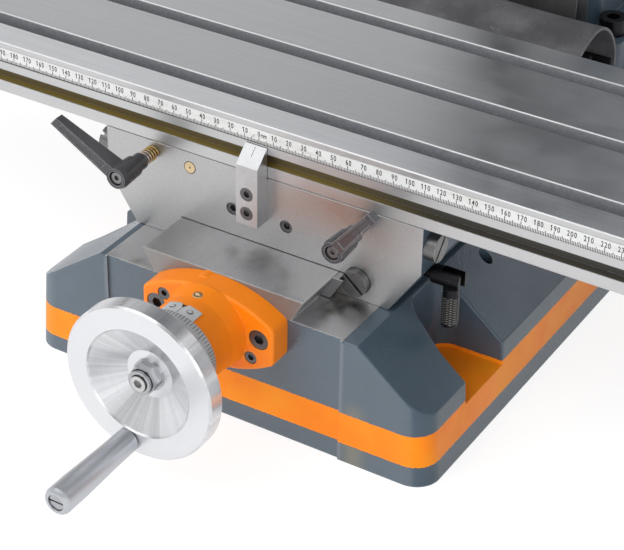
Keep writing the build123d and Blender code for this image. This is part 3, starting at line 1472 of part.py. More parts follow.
def belt_loop(offset):
    """Outline round both pulleys at a distance from their grooves."""
    spindle_round = Pos(0, spindle_y) * Circle(spindle_pulley_radius + offset)
    motor_round = Pos(0, motor_y) * Circle(motor_pulley_radius + offset)
    return make_hull(list(spindle_round.edges()) + list(motor_round.edges()))


def make_quill():
    """Quill with its rack, bearings, spindle and drawbar."""
    top = quill_bottom + quill_length
    quill = rod("z", (0, spindle_y), quill_bottom, top, quill_radius)
    quill -= rod("z", (0, spindle_y), quill_bottom - 1, top + 1, spindle_body_radius + 1)
    for low in (quill_bottom, top - quill_bearing_length):
        quill -= rod("z", (0, spindle_y), low, low + quill_bearing_length, quill_bearing_radius)
    flat = spindle_y + rack_offset + pinion_addendum
    pitch = math.pi * pinion_module
    rack_low = feed_shaft_z - 2 * pitch
    rack_high = feed_shaft_z + (rack_pitches - 3) * pitch
    quill -= box((-rack_half_width, rack_half_width), (flat, spindle_y + quill_radius + 1),
                 (rack_low - pitch / 2, rack_high + pitch / 2))
    lean = math.tan(math.radians(20))
    space = pitch - pinion_tooth_width
    depth = pinion_addendum + pinion_dedendum
    root_y = flat - depth
    mouth = space / 2 + lean * pinion_addendum
    root = space / 2 - lean * pinion_dedendum
    for n in range(rack_pitches):
        z = rack_low + n * pitch
        groove = [(root_y, z - root), (root_y, z + root), (flat + 1, z + mouth), (flat + 1, z - mouth)]
        quill -= prism("x", groove, -rack_half_width, rack_half_width)
    pieces["quill"] = quill

    ring = turned([(spindle_body_radius + running_clearance, 0), (quill_bearing_radius, 0),
                   (quill_bearing_radius, quill_bearing_length),
                   (spindle_body_radius + running_clearance, quill_bearing_length)])
    lows = (quill_bottom, top - quill_bearing_length)
    pieces["spindle_bearings"] = group(*[Pos(0, spindle_y, low) * ring for low in lows])

    spindle_top = head_top + spline_rise
    nose = quill_bottom - spindle_nose_length
    throat = nose + taper_length
    bore = drawbar_radius + drawbar_bore_clearance
    spindle = turned([(taper_mouth_radius, nose), (spindle_nose_radius, nose),
                      (spindle_nose_radius, quill_bottom - loose_gap),
                      (spindle_body_radius, quill_bottom - loose_gap), (spindle_body_radius, top + 2),
                      (spindle_radius, top + 2), (spindle_radius, spindle_top), (bore, spindle_top),
                      (bore, throat), (taper_end_radius, throat)])
    drawbar_low = throat - drawbar_engagement
    drawbar_top = spindle_top + drawbar_head_height
    drawbar = turned([(0, drawbar_low), (drawbar_radius, drawbar_low), (drawbar_radius, spindle_top),
                      (drawbar_head_radius, spindle_top), (drawbar_head_radius, drawbar_top), (0, drawbar_top)])
    pieces["spindle"] = group(Pos(0, spindle_y, 0) * spindle, Pos(0, spindle_y, 0) * drawbar)


def make_quill_feed():
    """Pinion shaft across the head and the capstan with its spokes and knobs."""
    root_radius = pinion_radius - pinion_dedendum
    half = pinion_length / 2
    wall = head_half_width
    shaft = rod("x", (0, 0), -half - 1, half + 1, root_radius)
    lean = math.tan(math.radians(20))
    foot = pinion_tooth_width / 2 + lean * pinion_dedendum
    tip = pinion_tooth_width / 2 - lean * pinion_addendum
    tooth = [(-root_radius + 0.4, -foot), (-root_radius + 0.4, foot), (-pinion_radius - pinion_addendum, tip),
             (-pinion_radius - pinion_addendum, -tip)]
    bar = prism("x", tooth, -half, half)
    teeth = [Rot(360 * n / pinion_teeth, 0, 0) * bar for n in range(pinion_teeth)]
    shaft = shaft.fuse(*teeth)
    shaft += rod("x", (0, 0), -feed_shaft_inset + slide_clearance, -half - 1, feed_shaft_radius)
    shaft += rod("x", (0, 0), half + 1, wall + loose_gap, feed_shaft_radius)
    hub_start = wall + loose_gap
    hub_end = hub_start + capstan_hub_length
    hub = facing_right(hub_start, 0, 0) * turned(
        [(0, 0), (capstan_hub_radius, 0), (capstan_hub_radius, capstan_hub_length - 4),
         (capstan_hub_radius - 4, capstan_hub_length), (0, capstan_hub_length)])
    spokes = []
    knobs = []
    for n in range(capstan_spokes):
        reach = capstan_spoke_length
        start = capstan_hub_radius - capstan_spoke_seat
        turn = 360 * n / capstan_spokes + capstan_phase
        out = Rot(turn, 0, 0) * Pos((hub_start + hub_end) / 2, 0, 0) * Rot(0, capstan_lean, 0)
        hub -= out * Pos(0, 0, start + reach / 2) * Cylinder(capstan_spoke_radius, reach)
        spokes.append(out * Pos(0, 0, start + reach / 2) * Cylinder(capstan_spoke_radius, reach))
        knob = Sphere(capstan_knob_radius) - Pos(0, 0, -capstan_knob_radius) * Cylinder(
            capstan_spoke_radius, 2 * (capstan_knob_radius - 4))
        knobs.append(out * Pos(0, 0, start + reach + 4) * knob)
    place = Pos(0, feed_shaft_y, feed_shaft_z)
    pieces["feed_shaft"] = place * shaft
    pieces["capstan"] = group(place * hub, *[place * spoke for spoke in spokes])
    pieces["capstan_knobs"] = group(*[place * knob for knob in knobs])


def make_controls():
    low = head_middle + control_rise
    front = head_front - control_depth
    x = (-control_half_width, control_half_width)
    z = (low, low + control_height)
    shell = box(x, (front, head_front), z)
    shell = fillet(shell.edges().filter_by(Axis.Y), control_corner_radius)
    wall = control_wall
    shell -= box((x[0] + wall, x[1] - wall), (front + wall, head_front - wall), (z[0] + wall, z[1] - wall))
    row_z = low + button_row_drop
    stems = (("stop_button", -button_spacing, stop_button_radius, 0.6),
             ("start_button", 0.0, start_button_radius, 0.9),
             ("speed_knob", button_spacing, speed_knob_radius, 0.85))
    for name, across, radius, crown in stems:
        gap = button_travel + 1 if name != "speed_knob" else loose_gap
        height = speed_knob_height if name == "speed_knob" else button_height
        hole = button_stem_radius + running_clearance
        shell -= rod("y", (across, row_z), front - 1, front + wall + 1, hole)
        cap = turned([(0, 0), (radius * 0.8, 0), (radius, height * 0.25), (radius, height * 0.7),
                      (radius * crown, height), (0, height)])
        length = button_stem_length + 2 * gap
        stem = Pos(0, 0, -gap - button_stem_length / 2 + 1) * Cylinder(button_stem_radius, length)
        pieces[name] = facing_front(across, front - gap, row_z) * (cap + stem)
    pieces["control_box"] = shell


def make_way_cover():
    """Slack rubber sheet between the saddle's rear and the column's foot, bowed up in the middle."""
    start = (saddle_rear + loose_gap + cover_sheet / 2, saddle_bottom + cover_saddle_height)
    end = (foot_front - loose_gap - cover_sheet / 2, column_bottom + cover_foot_height)
    crest = (foot_front - cover_crest_setback, way_height + cover_crest_height)
    span = end[0] - start[0]
    rise = (start[0] + span * 0.45, start[1] + (crest[1] - start[1]) * 0.66)
    line = Spline([start, rise, crest, end], tangents=[(0.5, 0.85), (-0.1, -1)])
    half = cover_sheet / 2
    upper = [line.position_at(t / 24) + line_normal(line, t / 24) * half for t in range(25)]
    lower = [line.position_at(t / 24) - line_normal(line, t / 24) * half for t in range(24, -1, -1)]
    outline = [(point.X, point.Y) for point in upper + lower]
    pieces["way_cover"] = prism("x", outline, -cover_half_width, cover_half_width)


def line_normal(line, t):
    heading = line.tangent_at(t)
    return Vector(-heading.Y, heading.X, 0)


make_base()
make_column()
make_column_cap()
make_lift()
make_cross_feed()
make_saddle()
make_pointer()
make_feed_nuts()
make_locks()
make_table()
make_table_feed()
make_head_slide()
make_head()
make_drive()
make_quill()
make_quill_feed()
make_controls()
make_way_cover()

os.makedirs("parts", exist_ok=True)
for name, shape in pieces.items():
    export_step(shape, "parts/" + name + ".step")
print(len(pieces), "pieces")
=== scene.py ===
"""Looks of a bench mill drill: finishes, scale marks, rubber way cover, light and camera."""
import math

import bmesh
import bpy
from mathutils import Matrix, Vector
from mathutils.geometry import interpolate_bezier


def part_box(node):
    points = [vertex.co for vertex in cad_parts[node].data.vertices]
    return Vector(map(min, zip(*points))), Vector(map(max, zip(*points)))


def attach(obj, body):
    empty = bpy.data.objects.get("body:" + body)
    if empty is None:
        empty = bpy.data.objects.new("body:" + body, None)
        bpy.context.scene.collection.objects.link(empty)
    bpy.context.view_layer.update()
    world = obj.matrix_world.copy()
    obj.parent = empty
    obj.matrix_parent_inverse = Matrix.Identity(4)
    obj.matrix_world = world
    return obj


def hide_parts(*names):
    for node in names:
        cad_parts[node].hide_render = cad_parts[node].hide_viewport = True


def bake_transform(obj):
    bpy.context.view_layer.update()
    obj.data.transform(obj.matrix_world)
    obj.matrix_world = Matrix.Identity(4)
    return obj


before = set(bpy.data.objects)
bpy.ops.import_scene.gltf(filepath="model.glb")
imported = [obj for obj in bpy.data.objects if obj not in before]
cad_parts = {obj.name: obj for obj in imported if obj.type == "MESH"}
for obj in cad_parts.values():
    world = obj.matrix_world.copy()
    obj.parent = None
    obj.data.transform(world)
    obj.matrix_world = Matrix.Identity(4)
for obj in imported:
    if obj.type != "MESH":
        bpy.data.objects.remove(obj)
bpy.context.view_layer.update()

MM = 0.001

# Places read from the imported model
table_low, table_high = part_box("table")
saddle_low, saddle_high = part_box("saddle")
dial_low, dial_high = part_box("cross_dial")
table_dial_low, table_dial_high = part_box("table_dials")
pointer_low, pointer_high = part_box("pointer_block")
index_low, index_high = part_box("index_plate")
motor_low, motor_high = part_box("motor")
slide_low, slide_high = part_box("head_slide")
base_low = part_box("base_casting")[0]
lock_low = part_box("cross_lock")[0]
box_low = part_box("control_box")[0]
cap_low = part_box("column_cap")[0]

# Base casting and saddle: painted bands, ground ways and painted flanks
stripe_bottom = 12.2 * MM
stripe_top = 34.0 * MM
stripe_tilt = 0.012
dust_left = 88.0 * MM
dust_right = 98.0 * MM
way_height = 86.0 * MM
way_rear = 103.0 * MM
wing_half_width = 84.0 * MM
panel_half_width = 82.5 * MM
panel_border = 6.0 * MM
pocket_floor = 33.0 * MM
flank_start = 84.0 * MM
small_screw_reach = 42.0 * MM

# Table: T-slots, stop groove and scale strip
table_middle = (table_low.y + table_high.y) / 2
slot_pitch = 63.0 * MM
slot_half_width = 10.3 * MM
slot_floor = 166.0 * MM
near_strip_rear = -187.0 * MM
groove_low = table_high.z - 27.0 * MM
groove_high = table_high.z - 19.0 * MM
groove_depth = 7.0 * MM
strip_face = table_low.y - 0.3 * MM
strip_bottom = table_high.z - 13.5 * MM
strip_step = 10.0 * MM
strip_decades = 24

# Screw lines, dials, index plate and knurled handle
screw_height = 74.0 * MM
table_screw_height = 138.1 * MM
spindle_y = -75.0 * MM
lift_screw_y = 155.0 * MM
dial_radius = 27.5 * MM
dial_length = dial_high.y - dial_low.y
dial_divisions = 80
dial_mark_gap = 0.3 * MM
boss_top = screw_height + 26.0 * MM
index_rivet_x = 6.0 * MM
index_rivet_radius = 1.6 * MM
knurl_radius = 4.85 * MM
knurl_centre = Vector((122.3 * MM, -192.0 * MM, 0.0))

# Printed marks and numbers: long, middle and short marks, and heights above the strip's lower edge
mark_width = 0.42 * MM
mark_proud = 0.05 * MM
scale_lengths = (4.4 * MM, 3.4 * MM, 2.5 * MM)
dial_lengths = (6.4 * MM, 5.0 * MM, 3.8 * MM)
number_rise = 4.9 * MM
number_height = 3.4 * MM
number_narrow = 0.70
number_stroke = 0.5 * MM
number_shift = 0.4 * MM
digit_pitch = 2.1 * MM
digit_height = 0.70
number_bold = 0.06 * MM

# Rubber way cover: its arch from the saddle over to the column foot, as (y, z) places and headings
cover_half_width = 90.0 * MM
cover_sheet = 2.0 * MM
cover_knots = [((-26.7, 112.05), (0.50, 0.85)), ((31.5, 138.4), (0.89, 0.46)),
               ((68.0, 152.0), (1.0, 0.0)), ((102.7, 112.0), (-0.10, -1.0))]
cover_handle_share = 0.35
cover_screw_x = (-72.0 * MM, -24.0 * MM, 24.0 * MM, 72.0 * MM)

# Head, motor and column details
motor_y = 5.0 * MM
motor_shell = 48.0 * MM
fin_count = 40
plate_screw_x = 58.0 * MM
panel_control_x = 34.0 * MM
column_side = 65.0 * MM
column_scale_y = 134.0 * MM
column_scale_low = 430.0 * MM
column_scale_decades = 30


def linear(red, green, blue):
    """Colour as written in a picture editor (0 to 255), for a shader socket."""
    def channel(value):
        part = value / 255.0
        return part / 12.92 if part <= 0.04045 else ((part + 0.055) / 1.055) ** 2.4
    return (channel(red), channel(green), channel(blue), 1.0)


def grey(value):
    return linear(value, value, value)


class Nodes:
    """Short calls that add shader nodes to one tree and hand back their sockets."""

    def __init__(self, tree):
        self.tree = tree

    def add(self, kind, inputs=None, **settings):
        node = self.tree.nodes.new("ShaderNode" + kind)
        for name, value in settings.items():
            setattr(node, name, value)
        for name, value in (inputs or {}).items():
            self.put(node.inputs[name], value)
        return node

    def put(self, socket, value):
        if isinstance(value, bpy.types.NodeSocket):
            self.tree.links.new(value, socket)
        else:
            socket.default_value = value

    def math(self, operation, first, second=0.0):
        return self.add("Math", {0: first, 1: second}, operation=operation).outputs[0]

    def vector(self, operation, first, second=(0.0, 0.0, 0.0)):
        found = self.add("VectorMath", {0: first, 1: second}, operation=operation).outputs
        return found["Value" if operation in ("DOT_PRODUCT", "LENGTH") else "Vector"]

    def ramp(self, value, start, end, low=0.0, high=1.0):
        inputs = {"Value": value, "From Min": start, "From Max": end, "To Min": low, "To Max": high}
        return self.add("MapRange", inputs, interpolation_type="SMOOTHSTEP").outputs["Result"]

    def spread(self, noise, low, high):
        """The usual swing of a noise laid out from a low to a high value."""
        return self.ramp(noise, 0.3, 0.7, low, high)

    def between(self, value, low, high, soft):
        rise = self.ramp(value, low - soft, low + soft)
        fall = self.ramp(value, high + soft, high - soft)
        return self.math("MULTIPLY", rise, fall)

    def every(self, first, *others):
        for other in others:
            first = self.math("MULTIPLY", first, other)
        return first

    def rest_of(self, mask):
        return self.math("SUBTRACT", 1.0, mask)

    def mix(self, mask, first, second):
        node = self.add("Mix", {0: mask, 6: first, 7: second}, data_type="RGBA")
        return node.outputs[2]

    def tint(self, tone, mask, share, colour):
        """The tone turned towards a colour by a share of the mask."""
        return self.mix(self.math("MULTIPLY", mask, share), tone, colour)

    def blend(self, mask, first, second):
        return self.add("Mix", {0: mask, 2: first, 3: second}, data_type="FLOAT").outputs[0]

    def as_grey(self, amount):
        return self.add("CombineColor", {0: amount, 1: amount, 2: amount}).outputs[0]

    def shade(self, colour, amount):
        """The colour made lighter or darker by a number that changes over the surface."""
        inputs = {0: 1.0, 6: colour, 7: self.as_grey(amount)}
        return self.add("Mix", inputs, data_type="RGBA", blend_type="MULTIPLY").outputs[2]

    def noise(self, vector, scale, detail=3.0, roughness=0.6):
        inputs = {"Vector": vector, "Scale": scale, "Detail": detail, "Roughness": roughness}
        return self.add("TexNoise", inputs).outputs[0]

    def stretched(self, vector, x, y, z):
        return self.add("Mapping", {"Vector": vector, "Scale": (x, y, z)}).outputs[0]

    def split(self, vector, first="x"):
        """The vector's three parts, with the part along the first axis at the front."""
        x, y, z = self.add("SeparateXYZ", {"Vector": vector}).outputs
        return {"x": (x, y, z), "y": (y, x, z), "z": (z, x, y)}[first]

    def joined(self, x, y, z=0.0):
        return self.add("CombineXYZ", {0: x, 1: y, 2: z}).outputs[0]

    def distance(self, x, y):
        return self.vector("LENGTH", self.joined(x, y))

    def group(self, tree, inputs):
        return self.add("Group", inputs, node_tree=tree).outputs


def shared(name, build, vectors, values=()):
    """A node group with named inputs; build adds its nodes and hands back its outputs by name."""
    tree = bpy.data.node_groups.new(name, "ShaderNodeTree")
    names = (*vectors, *values)
    for socket in names:
        kind = "NodeSocketVector" if socket in vectors else "NodeSocketFloat"
        tree.interface.new_socket(name=socket, in_out="INPUT", socket_type=kind)
    nodes = Nodes(tree)
    given = tree.nodes.new("NodeGroupInput").outputs
    made = build(nodes, *[given[socket] for socket in names])
    for socket in made:
        tree.interface.new_socket(name=socket, in_out="OUTPUT", socket_type="NodeSocketFloat")
    result = tree.nodes.new("NodeGroupOutput").inputs
    for socket, value in made.items():
        nodes.put(result[socket], value)
    return tree


def rub_edges(nodes, rounded, place, patch_size, reach):
    """Rubbed edges: where the rounded normal leaves the flat one, broken into patches."""
    flat = nodes.add("NewGeometry").outputs["True Normal"]
    turn = nodes.rest_of(nodes.vector("DOT_PRODUCT", rounded, flat))
    patches = nodes.noise(place, patch_size, 4.0, 0.65)
    needed = nodes.math("DIVIDE", nodes.ramp(patches, 0.35, 0.75, 0.30, 0.02), reach)
    return {"Mask": nodes.ramp(nodes.math("SUBTRACT", turn, needed), 0.0, 0.05)}


def spray_paint(nodes, place):
    """Sprayed paint over a casting: fine dimples on slow waves, and cloudy tone."""
    dimples = nodes.noise(place, 560.0, 2.0, 0.5)
    waves = nodes.noise(place, 90.0, 2.0, 0.5)
    clouds = nodes.noise(place, 14.0, 4.0)
    return {"Height": nodes.blend(0.25, dimples, waves), "Tone": nodes.ramp(clouds, 0.25, 0.75, 0.91, 1.09)}


def grind(nodes, place):
    """Grinding lines along the first axis of the place: fine streaks, cloudy tone, height."""
    fine = nodes.noise(nodes.stretched(place, 9.0, 2600.0, 2600.0), 1.0)
    broad = nodes.noise(nodes.stretched(place, 4.0, 420.0, 420.0), 1.0, 4.0, 0.65)
    clouds = nodes.noise(place, 22.0, 5.0, 0.62)
    lines = nodes.blend(0.45, fine, broad)
    tone = nodes.math("ADD", nodes.spread(lines, -0.12, 0.12), nodes.spread(clouds, 0.93, 1.07))
    return {"Height": lines, "Tone": tone, "Gloss": nodes.spread(clouds, 0.32, 0.42)}


def smudge(nodes, place, size, share):
    """Scattered soft stains, more of them as the share rises."""
    start = nodes.math("SUBTRACT", 0.86, share)
    above = nodes.math("SUBTRACT", nodes.noise(place, size, 5.0), start)
    return {"Mask": nodes.ramp(above, 0.0, 0.22)}


def turn_on_lathe(nodes, along, away, across):
    """Lathe marks round an axis: rings by distance from it and along it."""
    ring = nodes.joined(nodes.distance(away, across), along)
    fine = nodes.noise(nodes.stretched(ring, 5200.0, 5200.0, 1.0), 1.0, 2.0, 0.5)
    broad = nodes.noise(nodes.stretched(ring, 900.0, 900.0, 1.0), 1.0)
    lines = nodes.blend(0.4, fine, broad)
    return {"Height": lines, "Tone": nodes.spread(lines, 0.95, 1.04)}


worn_edges = shared("worn edges", rub_edges, ("Rounded", "Place"), ("Patch Size", "Reach"))
orange_peel = shared("orange peel", spray_paint, ("Place",))
grinding = shared("grinding lines", grind, ("Place",))
smudges = shared("smudges", smudge, ("Place",), ("Size", "Share"))
turning = shared("lathe marks", turn_on_lathe, (), ("Along", "Away", "Across"))


class Finish(Nodes):
    """A new material with its shader, its places on the piece and its rounded edges."""

    def __init__(self, name, edge_round=0.5 * MM, wear_round=None):
        self.material = bpy.data.materials.new(name)
        self.material.use_nodes = True
        super().__init__(self.material.node_tree)
        self.shader = self.tree.nodes["Principled BSDF"].inputs
        source = self.add("TexCoord").outputs
        self.place = source["Object"]
        self.normal = source["Normal"]
        self.rounded = self.add("Bevel", {"Radius": edge_round}, samples=4).outputs[0]
        self.rubbed = self.rounded
        if wear_round:
            self.rubbed = self.add("Bevel", {"Radius": wear_round}, samples=6).outputs[0]

    def set(self, **values):
        for name, value in values.items():
            self.put(self.shader[name.replace("_", " ").title().replace("Ior", "IOR")], value)

    def worn(self, patch_size, reach):
        inputs = {"Rounded": self.rubbed, "Place": self.place, "Patch Size": patch_size, "Reach": reach}
        return self.group(worn_edges, inputs)["Mask"]

    def stained(self, size, share):
        return self.group(smudges, {"Place": self.place, "Size": size, "Share": share})["Mask"]

    def grained(self, tone, dark, light, scale=900.0):
        """The tone with fine grain from a dark to a light share, and the grain itself."""
        grain = self.noise(self.place, scale)
        return self.shade(tone, self.spread(grain, dark, light)), grain

    def clouded(self, low, high, scale=120.0):
        return self.spread(self.noise(self.place, scale), low, high)

    def relief(self, height, distance, strength=0.5):
        inputs = {"Height": height, "Distance": distance, "Strength": strength, "Normal": self.rounded}
        self.set(normal=self.add("Bump", inputs).outputs[0])


# Colours of the real finishes, and the painted light and shade of the stop groove
blue_grey = linear(70, 86, 99)
blue_grey_worn = linear(160, 170, 178)
orange = linear(252, 136, 14)
orange_light = linear(254, 178, 70)
orange_thin = linear(255, 166, 30)
orange_dust = linear(150, 138, 86)
iron = linear(172, 172, 173)
saddle_iron = grey(184)
way_iron = linear(196, 196, 198)
iron_bright = linear(236, 236, 234)
iron_dark = linear(98, 97, 95)
table_iron = linear(206, 207, 210)
slot_grey = linear(136, 138, 143)
# The oil brown also stands for the painted shade on the stop groove's back wall; the gold is painted light
# on its floor
oil_brown_and_groove_shade = linear(82, 67, 20)
lit_oil_gold = linear(134, 114, 30)
groove_grey = linear(46, 45, 41)
bolt_grey = linear(108, 108, 110)
screw_grey = grey(126)
worn_steel = grey(190)
plated = grey(200)
aluminium = linear(224, 225, 228)
dial_grey = linear(196, 198, 201)
chip = linear(48, 46, 44)


def painted(coat, colour, worn_colour, gloss=0.34, wear=1.0, spared=None):
    """Sprayed paint: cloudy tone, dimples, rubbed edges and a few dark chips; spared edges stay whole."""
    peel = coat.group(orange_peel, {"Place": coat.place})
    tone = coat.shade(colour, peel["Tone"])
    edges = coat.worn(260.0, wear)
    if spared:
        edges = coat.every(edges, coat.rest_of(spared))
    tone = coat.tint(tone, edges, 0.6, worn_colour)
    chips = coat.ramp(coat.noise(coat.place, 330.0, 2.0, 0.5), 0.785, 0.805)
    tone = coat.mix(chips, tone, chip)
    rough = coat.ramp(peel["Tone"], 0.9, 1.1, gloss + 0.05, gloss - 0.05)
    return tone, rough, peel["Height"]


def make_paint(name, colour, worn_colour, gloss=0.34, peel_depth=0.09 * MM, shine=0.7):
    coat = Finish(name, 0.8 * MM, 1.8 * MM)
    tone, rough, height = painted(coat, colour, worn_colour, gloss)
    coat.set(base_color=tone, roughness=rough, specular_ior_level=shine)
    coat.relief(height, peel_depth, 0.6)
    return coat.material


def ground_look(coat, along, colour, streaks):
    """Ground metal, its lines along x, y or z; streaks says how clearly they show."""
    ground = coat.group(grinding, {"Place": coat.joined(*coat.split(coat.place, along))})
    grain = coat.clouded(0.94, 1.06, 1300.0)
    tone = coat.every(grain, coat.blend(streaks, 1.0, ground["Tone"]))
    return coat.shade(colour, tone), ground["Gloss"], ground["Height"]


def make_ground(name, along, colour, streaks=0.6):
    coat = Finish(name, 0.4 * MM)
    tone, rough, height = ground_look(coat, along, colour, streaks)
    tone = coat.tint(tone, coat.stained(30.0, 0.20), 0.3, iron_dark)
    tone = coat.tint(tone, coat.worn(500.0, 1.0), 0.5, iron_bright)
    coat.set(base_color=tone, roughness=rough, metallic=1.0)
    coat.relief(height, 0.008 * MM)
    return coat.material


def make_base_finish(name):
    """Base casting: blue-grey paint, orange stripe and pocket floors, ground ways."""
    coat = Finish(name, 1.0 * MM, 2.4 * MM)
    x, y, z = coat.split(coat.place)
    across = coat.math("ABSOLUTE", x)
    sideways, forwards, up = coat.split(coat.normal)
    front = coat.ramp(forwards, -0.5, -0.8)
    at_panel = coat.every(
        coat.between(across, panel_half_width - panel_border, panel_half_width + panel_border, 1 * MM),
        coat.ramp(y, base_low.y + 12 * MM, base_low.y + 8 * MM),
        coat.ramp(z, way_height - 1 * MM, way_height - 2 * MM))
    paint, paint_rough, peel = painted(coat, blue_grey, blue_grey_worn, 0.22, 1.0, at_panel)
    crease = coat.between(across, panel_half_width - 0.5 * MM, panel_half_width + 2.0 * MM, 1.6 * MM)
    paint = coat.tint(paint, coat.every(at_panel, crease), 0.22, blue_grey_worn)
    dust = coat.every(front, coat.between(x, dust_left, dust_right, 8 * MM),
                      coat.ramp(z, stripe_top + 15 * MM, stripe_top))
    paint = coat.tint(paint, dust, 0.35, orange_dust)
    ragged = coat.spread(coat.noise(coat.place, 700.0, 4.0, 0.7), -0.3 * MM, 0.3 * MM)
    level = coat.math("SUBTRACT", coat.math("ADD", z, ragged), coat.every(x, stripe_tilt))
    stripe = coat.between(level, stripe_bottom, stripe_top, 0.10 * MM)
    pocket = coat.every(coat.between(z, pocket_floor - 2 * MM, pocket_floor + 1.5 * MM, 0.3 * MM),
                        coat.ramp(up, 0.6, 0.8))
    stripe = coat.math("MAXIMUM", stripe, pocket)
    band, band_rough = painted(coat, orange, orange_light, 0.38, 1.0, at_panel)[:2]
    thin = coat.ramp(coat.noise(coat.place, 16.0, 3.0, 0.55), 0.45, 0.70)
    band = coat.tint(band, thin, 0.6, orange_thin)
    colour = coat.mix(stripe, paint, band)
    ways = coat.every(coat.ramp(z, way_height - 0.15 * MM, way_height - 0.05 * MM),
                      coat.ramp(across, wing_half_width + 0.2 * MM, wing_half_width - 0.2 * MM),
                      coat.ramp(y, way_rear + 0.5 * MM, way_rear - 0.5 * MM))
    metal, metal_rough, lines = ground_look(coat, "y", way_iron, 0.4)
    wings = coat.ramp(z, way_height + 3 * MM, way_height + 1 * MM)
    oiled = coat.mix(wings, iron_dark, oil_brown_and_groove_shade)
    metal = coat.tint(metal, coat.stained(26.0, 0.36), coat.blend(wings, 0.5, 0.7), oiled)
    metal = coat.tint(metal, coat.worn(420.0, 1.6), 0.9, iron_bright)
    metal = coat.tint(metal, front, 0.75, iron_dark)
    colour = coat.mix(ways, colour, metal)
    rough = coat.blend(ways, coat.blend(stripe, paint_rough, band_rough), metal_rough)
    bare = coat.every(ways, coat.rest_of(coat.every(front, 0.6)))
    flank = coat.ramp(coat.math("ABSOLUTE", sideways), 0.3, 0.5)
    shine = coat.blend(stripe, coat.blend(flank, 0.95, 0.35), coat.blend(flank, 0.3, 0.2))
    coat.set(base_color=colour, roughness=rough, metallic=bare, specular_ior_level=shine)
    coat.relief(coat.blend(ways, peel, coat.every(lines, 0.025)), 0.40 * MM, 0.9)
    return coat.material


def make_saddle_finish(name):
    """Saddle: satin ground front, back and top, painted flanks."""
    coat = Finish(name, 0.6 * MM)
    sideways = coat.math("ABSOLUTE", coat.split(coat.normal)[0])
    across = coat.math("ABSOLUTE", coat.split(coat.place)[0])
    flank = coat.every(coat.ramp(sideways, 0.30, 0.45),
                       coat.ramp(across, flank_start, flank_start + 4 * MM))
    paint, paint_rough, peel = painted(coat, blue_grey, blue_grey_worn, 0.34, 1.4)
    metal, metal_rough, lines = ground_look(coat, "x", saddle_iron, 0.18)
    metal = coat.tint(metal, coat.stained(30.0, 0.22), 0.22, iron_dark)
    metal = coat.tint(metal, coat.worn(420.0, 1.2), 0.6, iron_bright)
    coat.set(base_color=coat.mix(flank, metal, paint), metallic=coat.rest_of(flank),
             roughness=coat.blend(flank, metal_rough, paint_rough))
    coat.relief(coat.blend(flank, coat.every(lines, 0.05), peel), 0.05 * MM, 0.6)
    return coat.material


def make_table_finish(name):
    """Table: ground all over, a painted sheen before the first T-slot, grey in the T-slots, oil in the stop
    groove with painted light and shade.
    """
    coat = Finish(name, 0.5 * MM)
    x, y, z = coat.split(coat.place)
    forwards, up = coat.split(coat.normal)[1:]
    metal, metal_rough, lines = ground_look(coat, "x", table_iron, 0.6)
    # Painted sheen: the strip in front of the first T-slot is made lighter
    near = coat.ramp(y, near_strip_rear + 1 * MM, near_strip_rear)
    metal = coat.shade(metal, coat.blend(near, 0.98, 1.26))
    metal = coat.tint(metal, coat.ramp(forwards, -0.5, -0.8), 0.75, saddle_iron)
    from_middle = coat.math("SUBTRACT", y, table_middle)
    step = coat.math("PINGPONG", coat.math("ADD", from_middle, 1.5 * slot_pitch), slot_pitch / 2)
    off_slot = coat.math("SUBTRACT", slot_pitch / 2, step)
    slots = coat.every(coat.ramp(off_slot, slot_half_width + 0.2 * MM, slot_half_width),
                       coat.between(z, slot_floor, table_high.z - 0.75 * MM, 0.1 * MM))
    rough_cut = coat.spread(coat.noise(coat.place, 500.0, 3.0, 0.65), 0.86, 1.1)
    colour = coat.mix(slots, metal, coat.shade(slot_grey, rough_cut))
    groove = coat.every(coat.between(z, groove_low - 0.1 * MM, groove_high + 0.1 * MM, 0.1 * MM),
                        coat.ramp(y, table_low.y + 0.4 * MM, table_low.y + 0.9 * MM),
                        coat.ramp(y, table_low.y + groove_depth, table_low.y + groove_depth - 0.5 * MM))
    # Stop groove over an oil film: its upward face painted lit gold, the rest painted shaded brown, all
    # turning dark grey towards the right
    film = coat.noise(coat.stretched(coat.place, 18.0, 300.0, 300.0), 1.0, 4.0)
    lit_groove_floor = coat.every(coat.spread(up, 0.0, 1.0), coat.ramp(film, 0.2, 0.6, 0.6, 1.0))
    oil = coat.mix(lit_groove_floor, oil_brown_and_groove_shade, lit_oil_gold)
    oil = coat.mix(coat.ramp(x, 40 * MM, 130 * MM, 0.0, 0.9), oil, groove_grey)
    colour = coat.tint(colour, groove, 0.95, oil)
    colour = coat.tint(colour, coat.worn(500.0, 1.0), 0.3, iron_bright)
    rough = coat.blend(slots, coat.blend(groove, metal_rough, 0.38), 0.6)
    bare = coat.blend(slots, coat.blend(groove, 1.0, 0.2), 0.15)
    coat.set(base_color=colour, roughness=rough, metallic=bare)
    coat.relief(lines, 0.006 * MM, 0.6)
    return coat.material


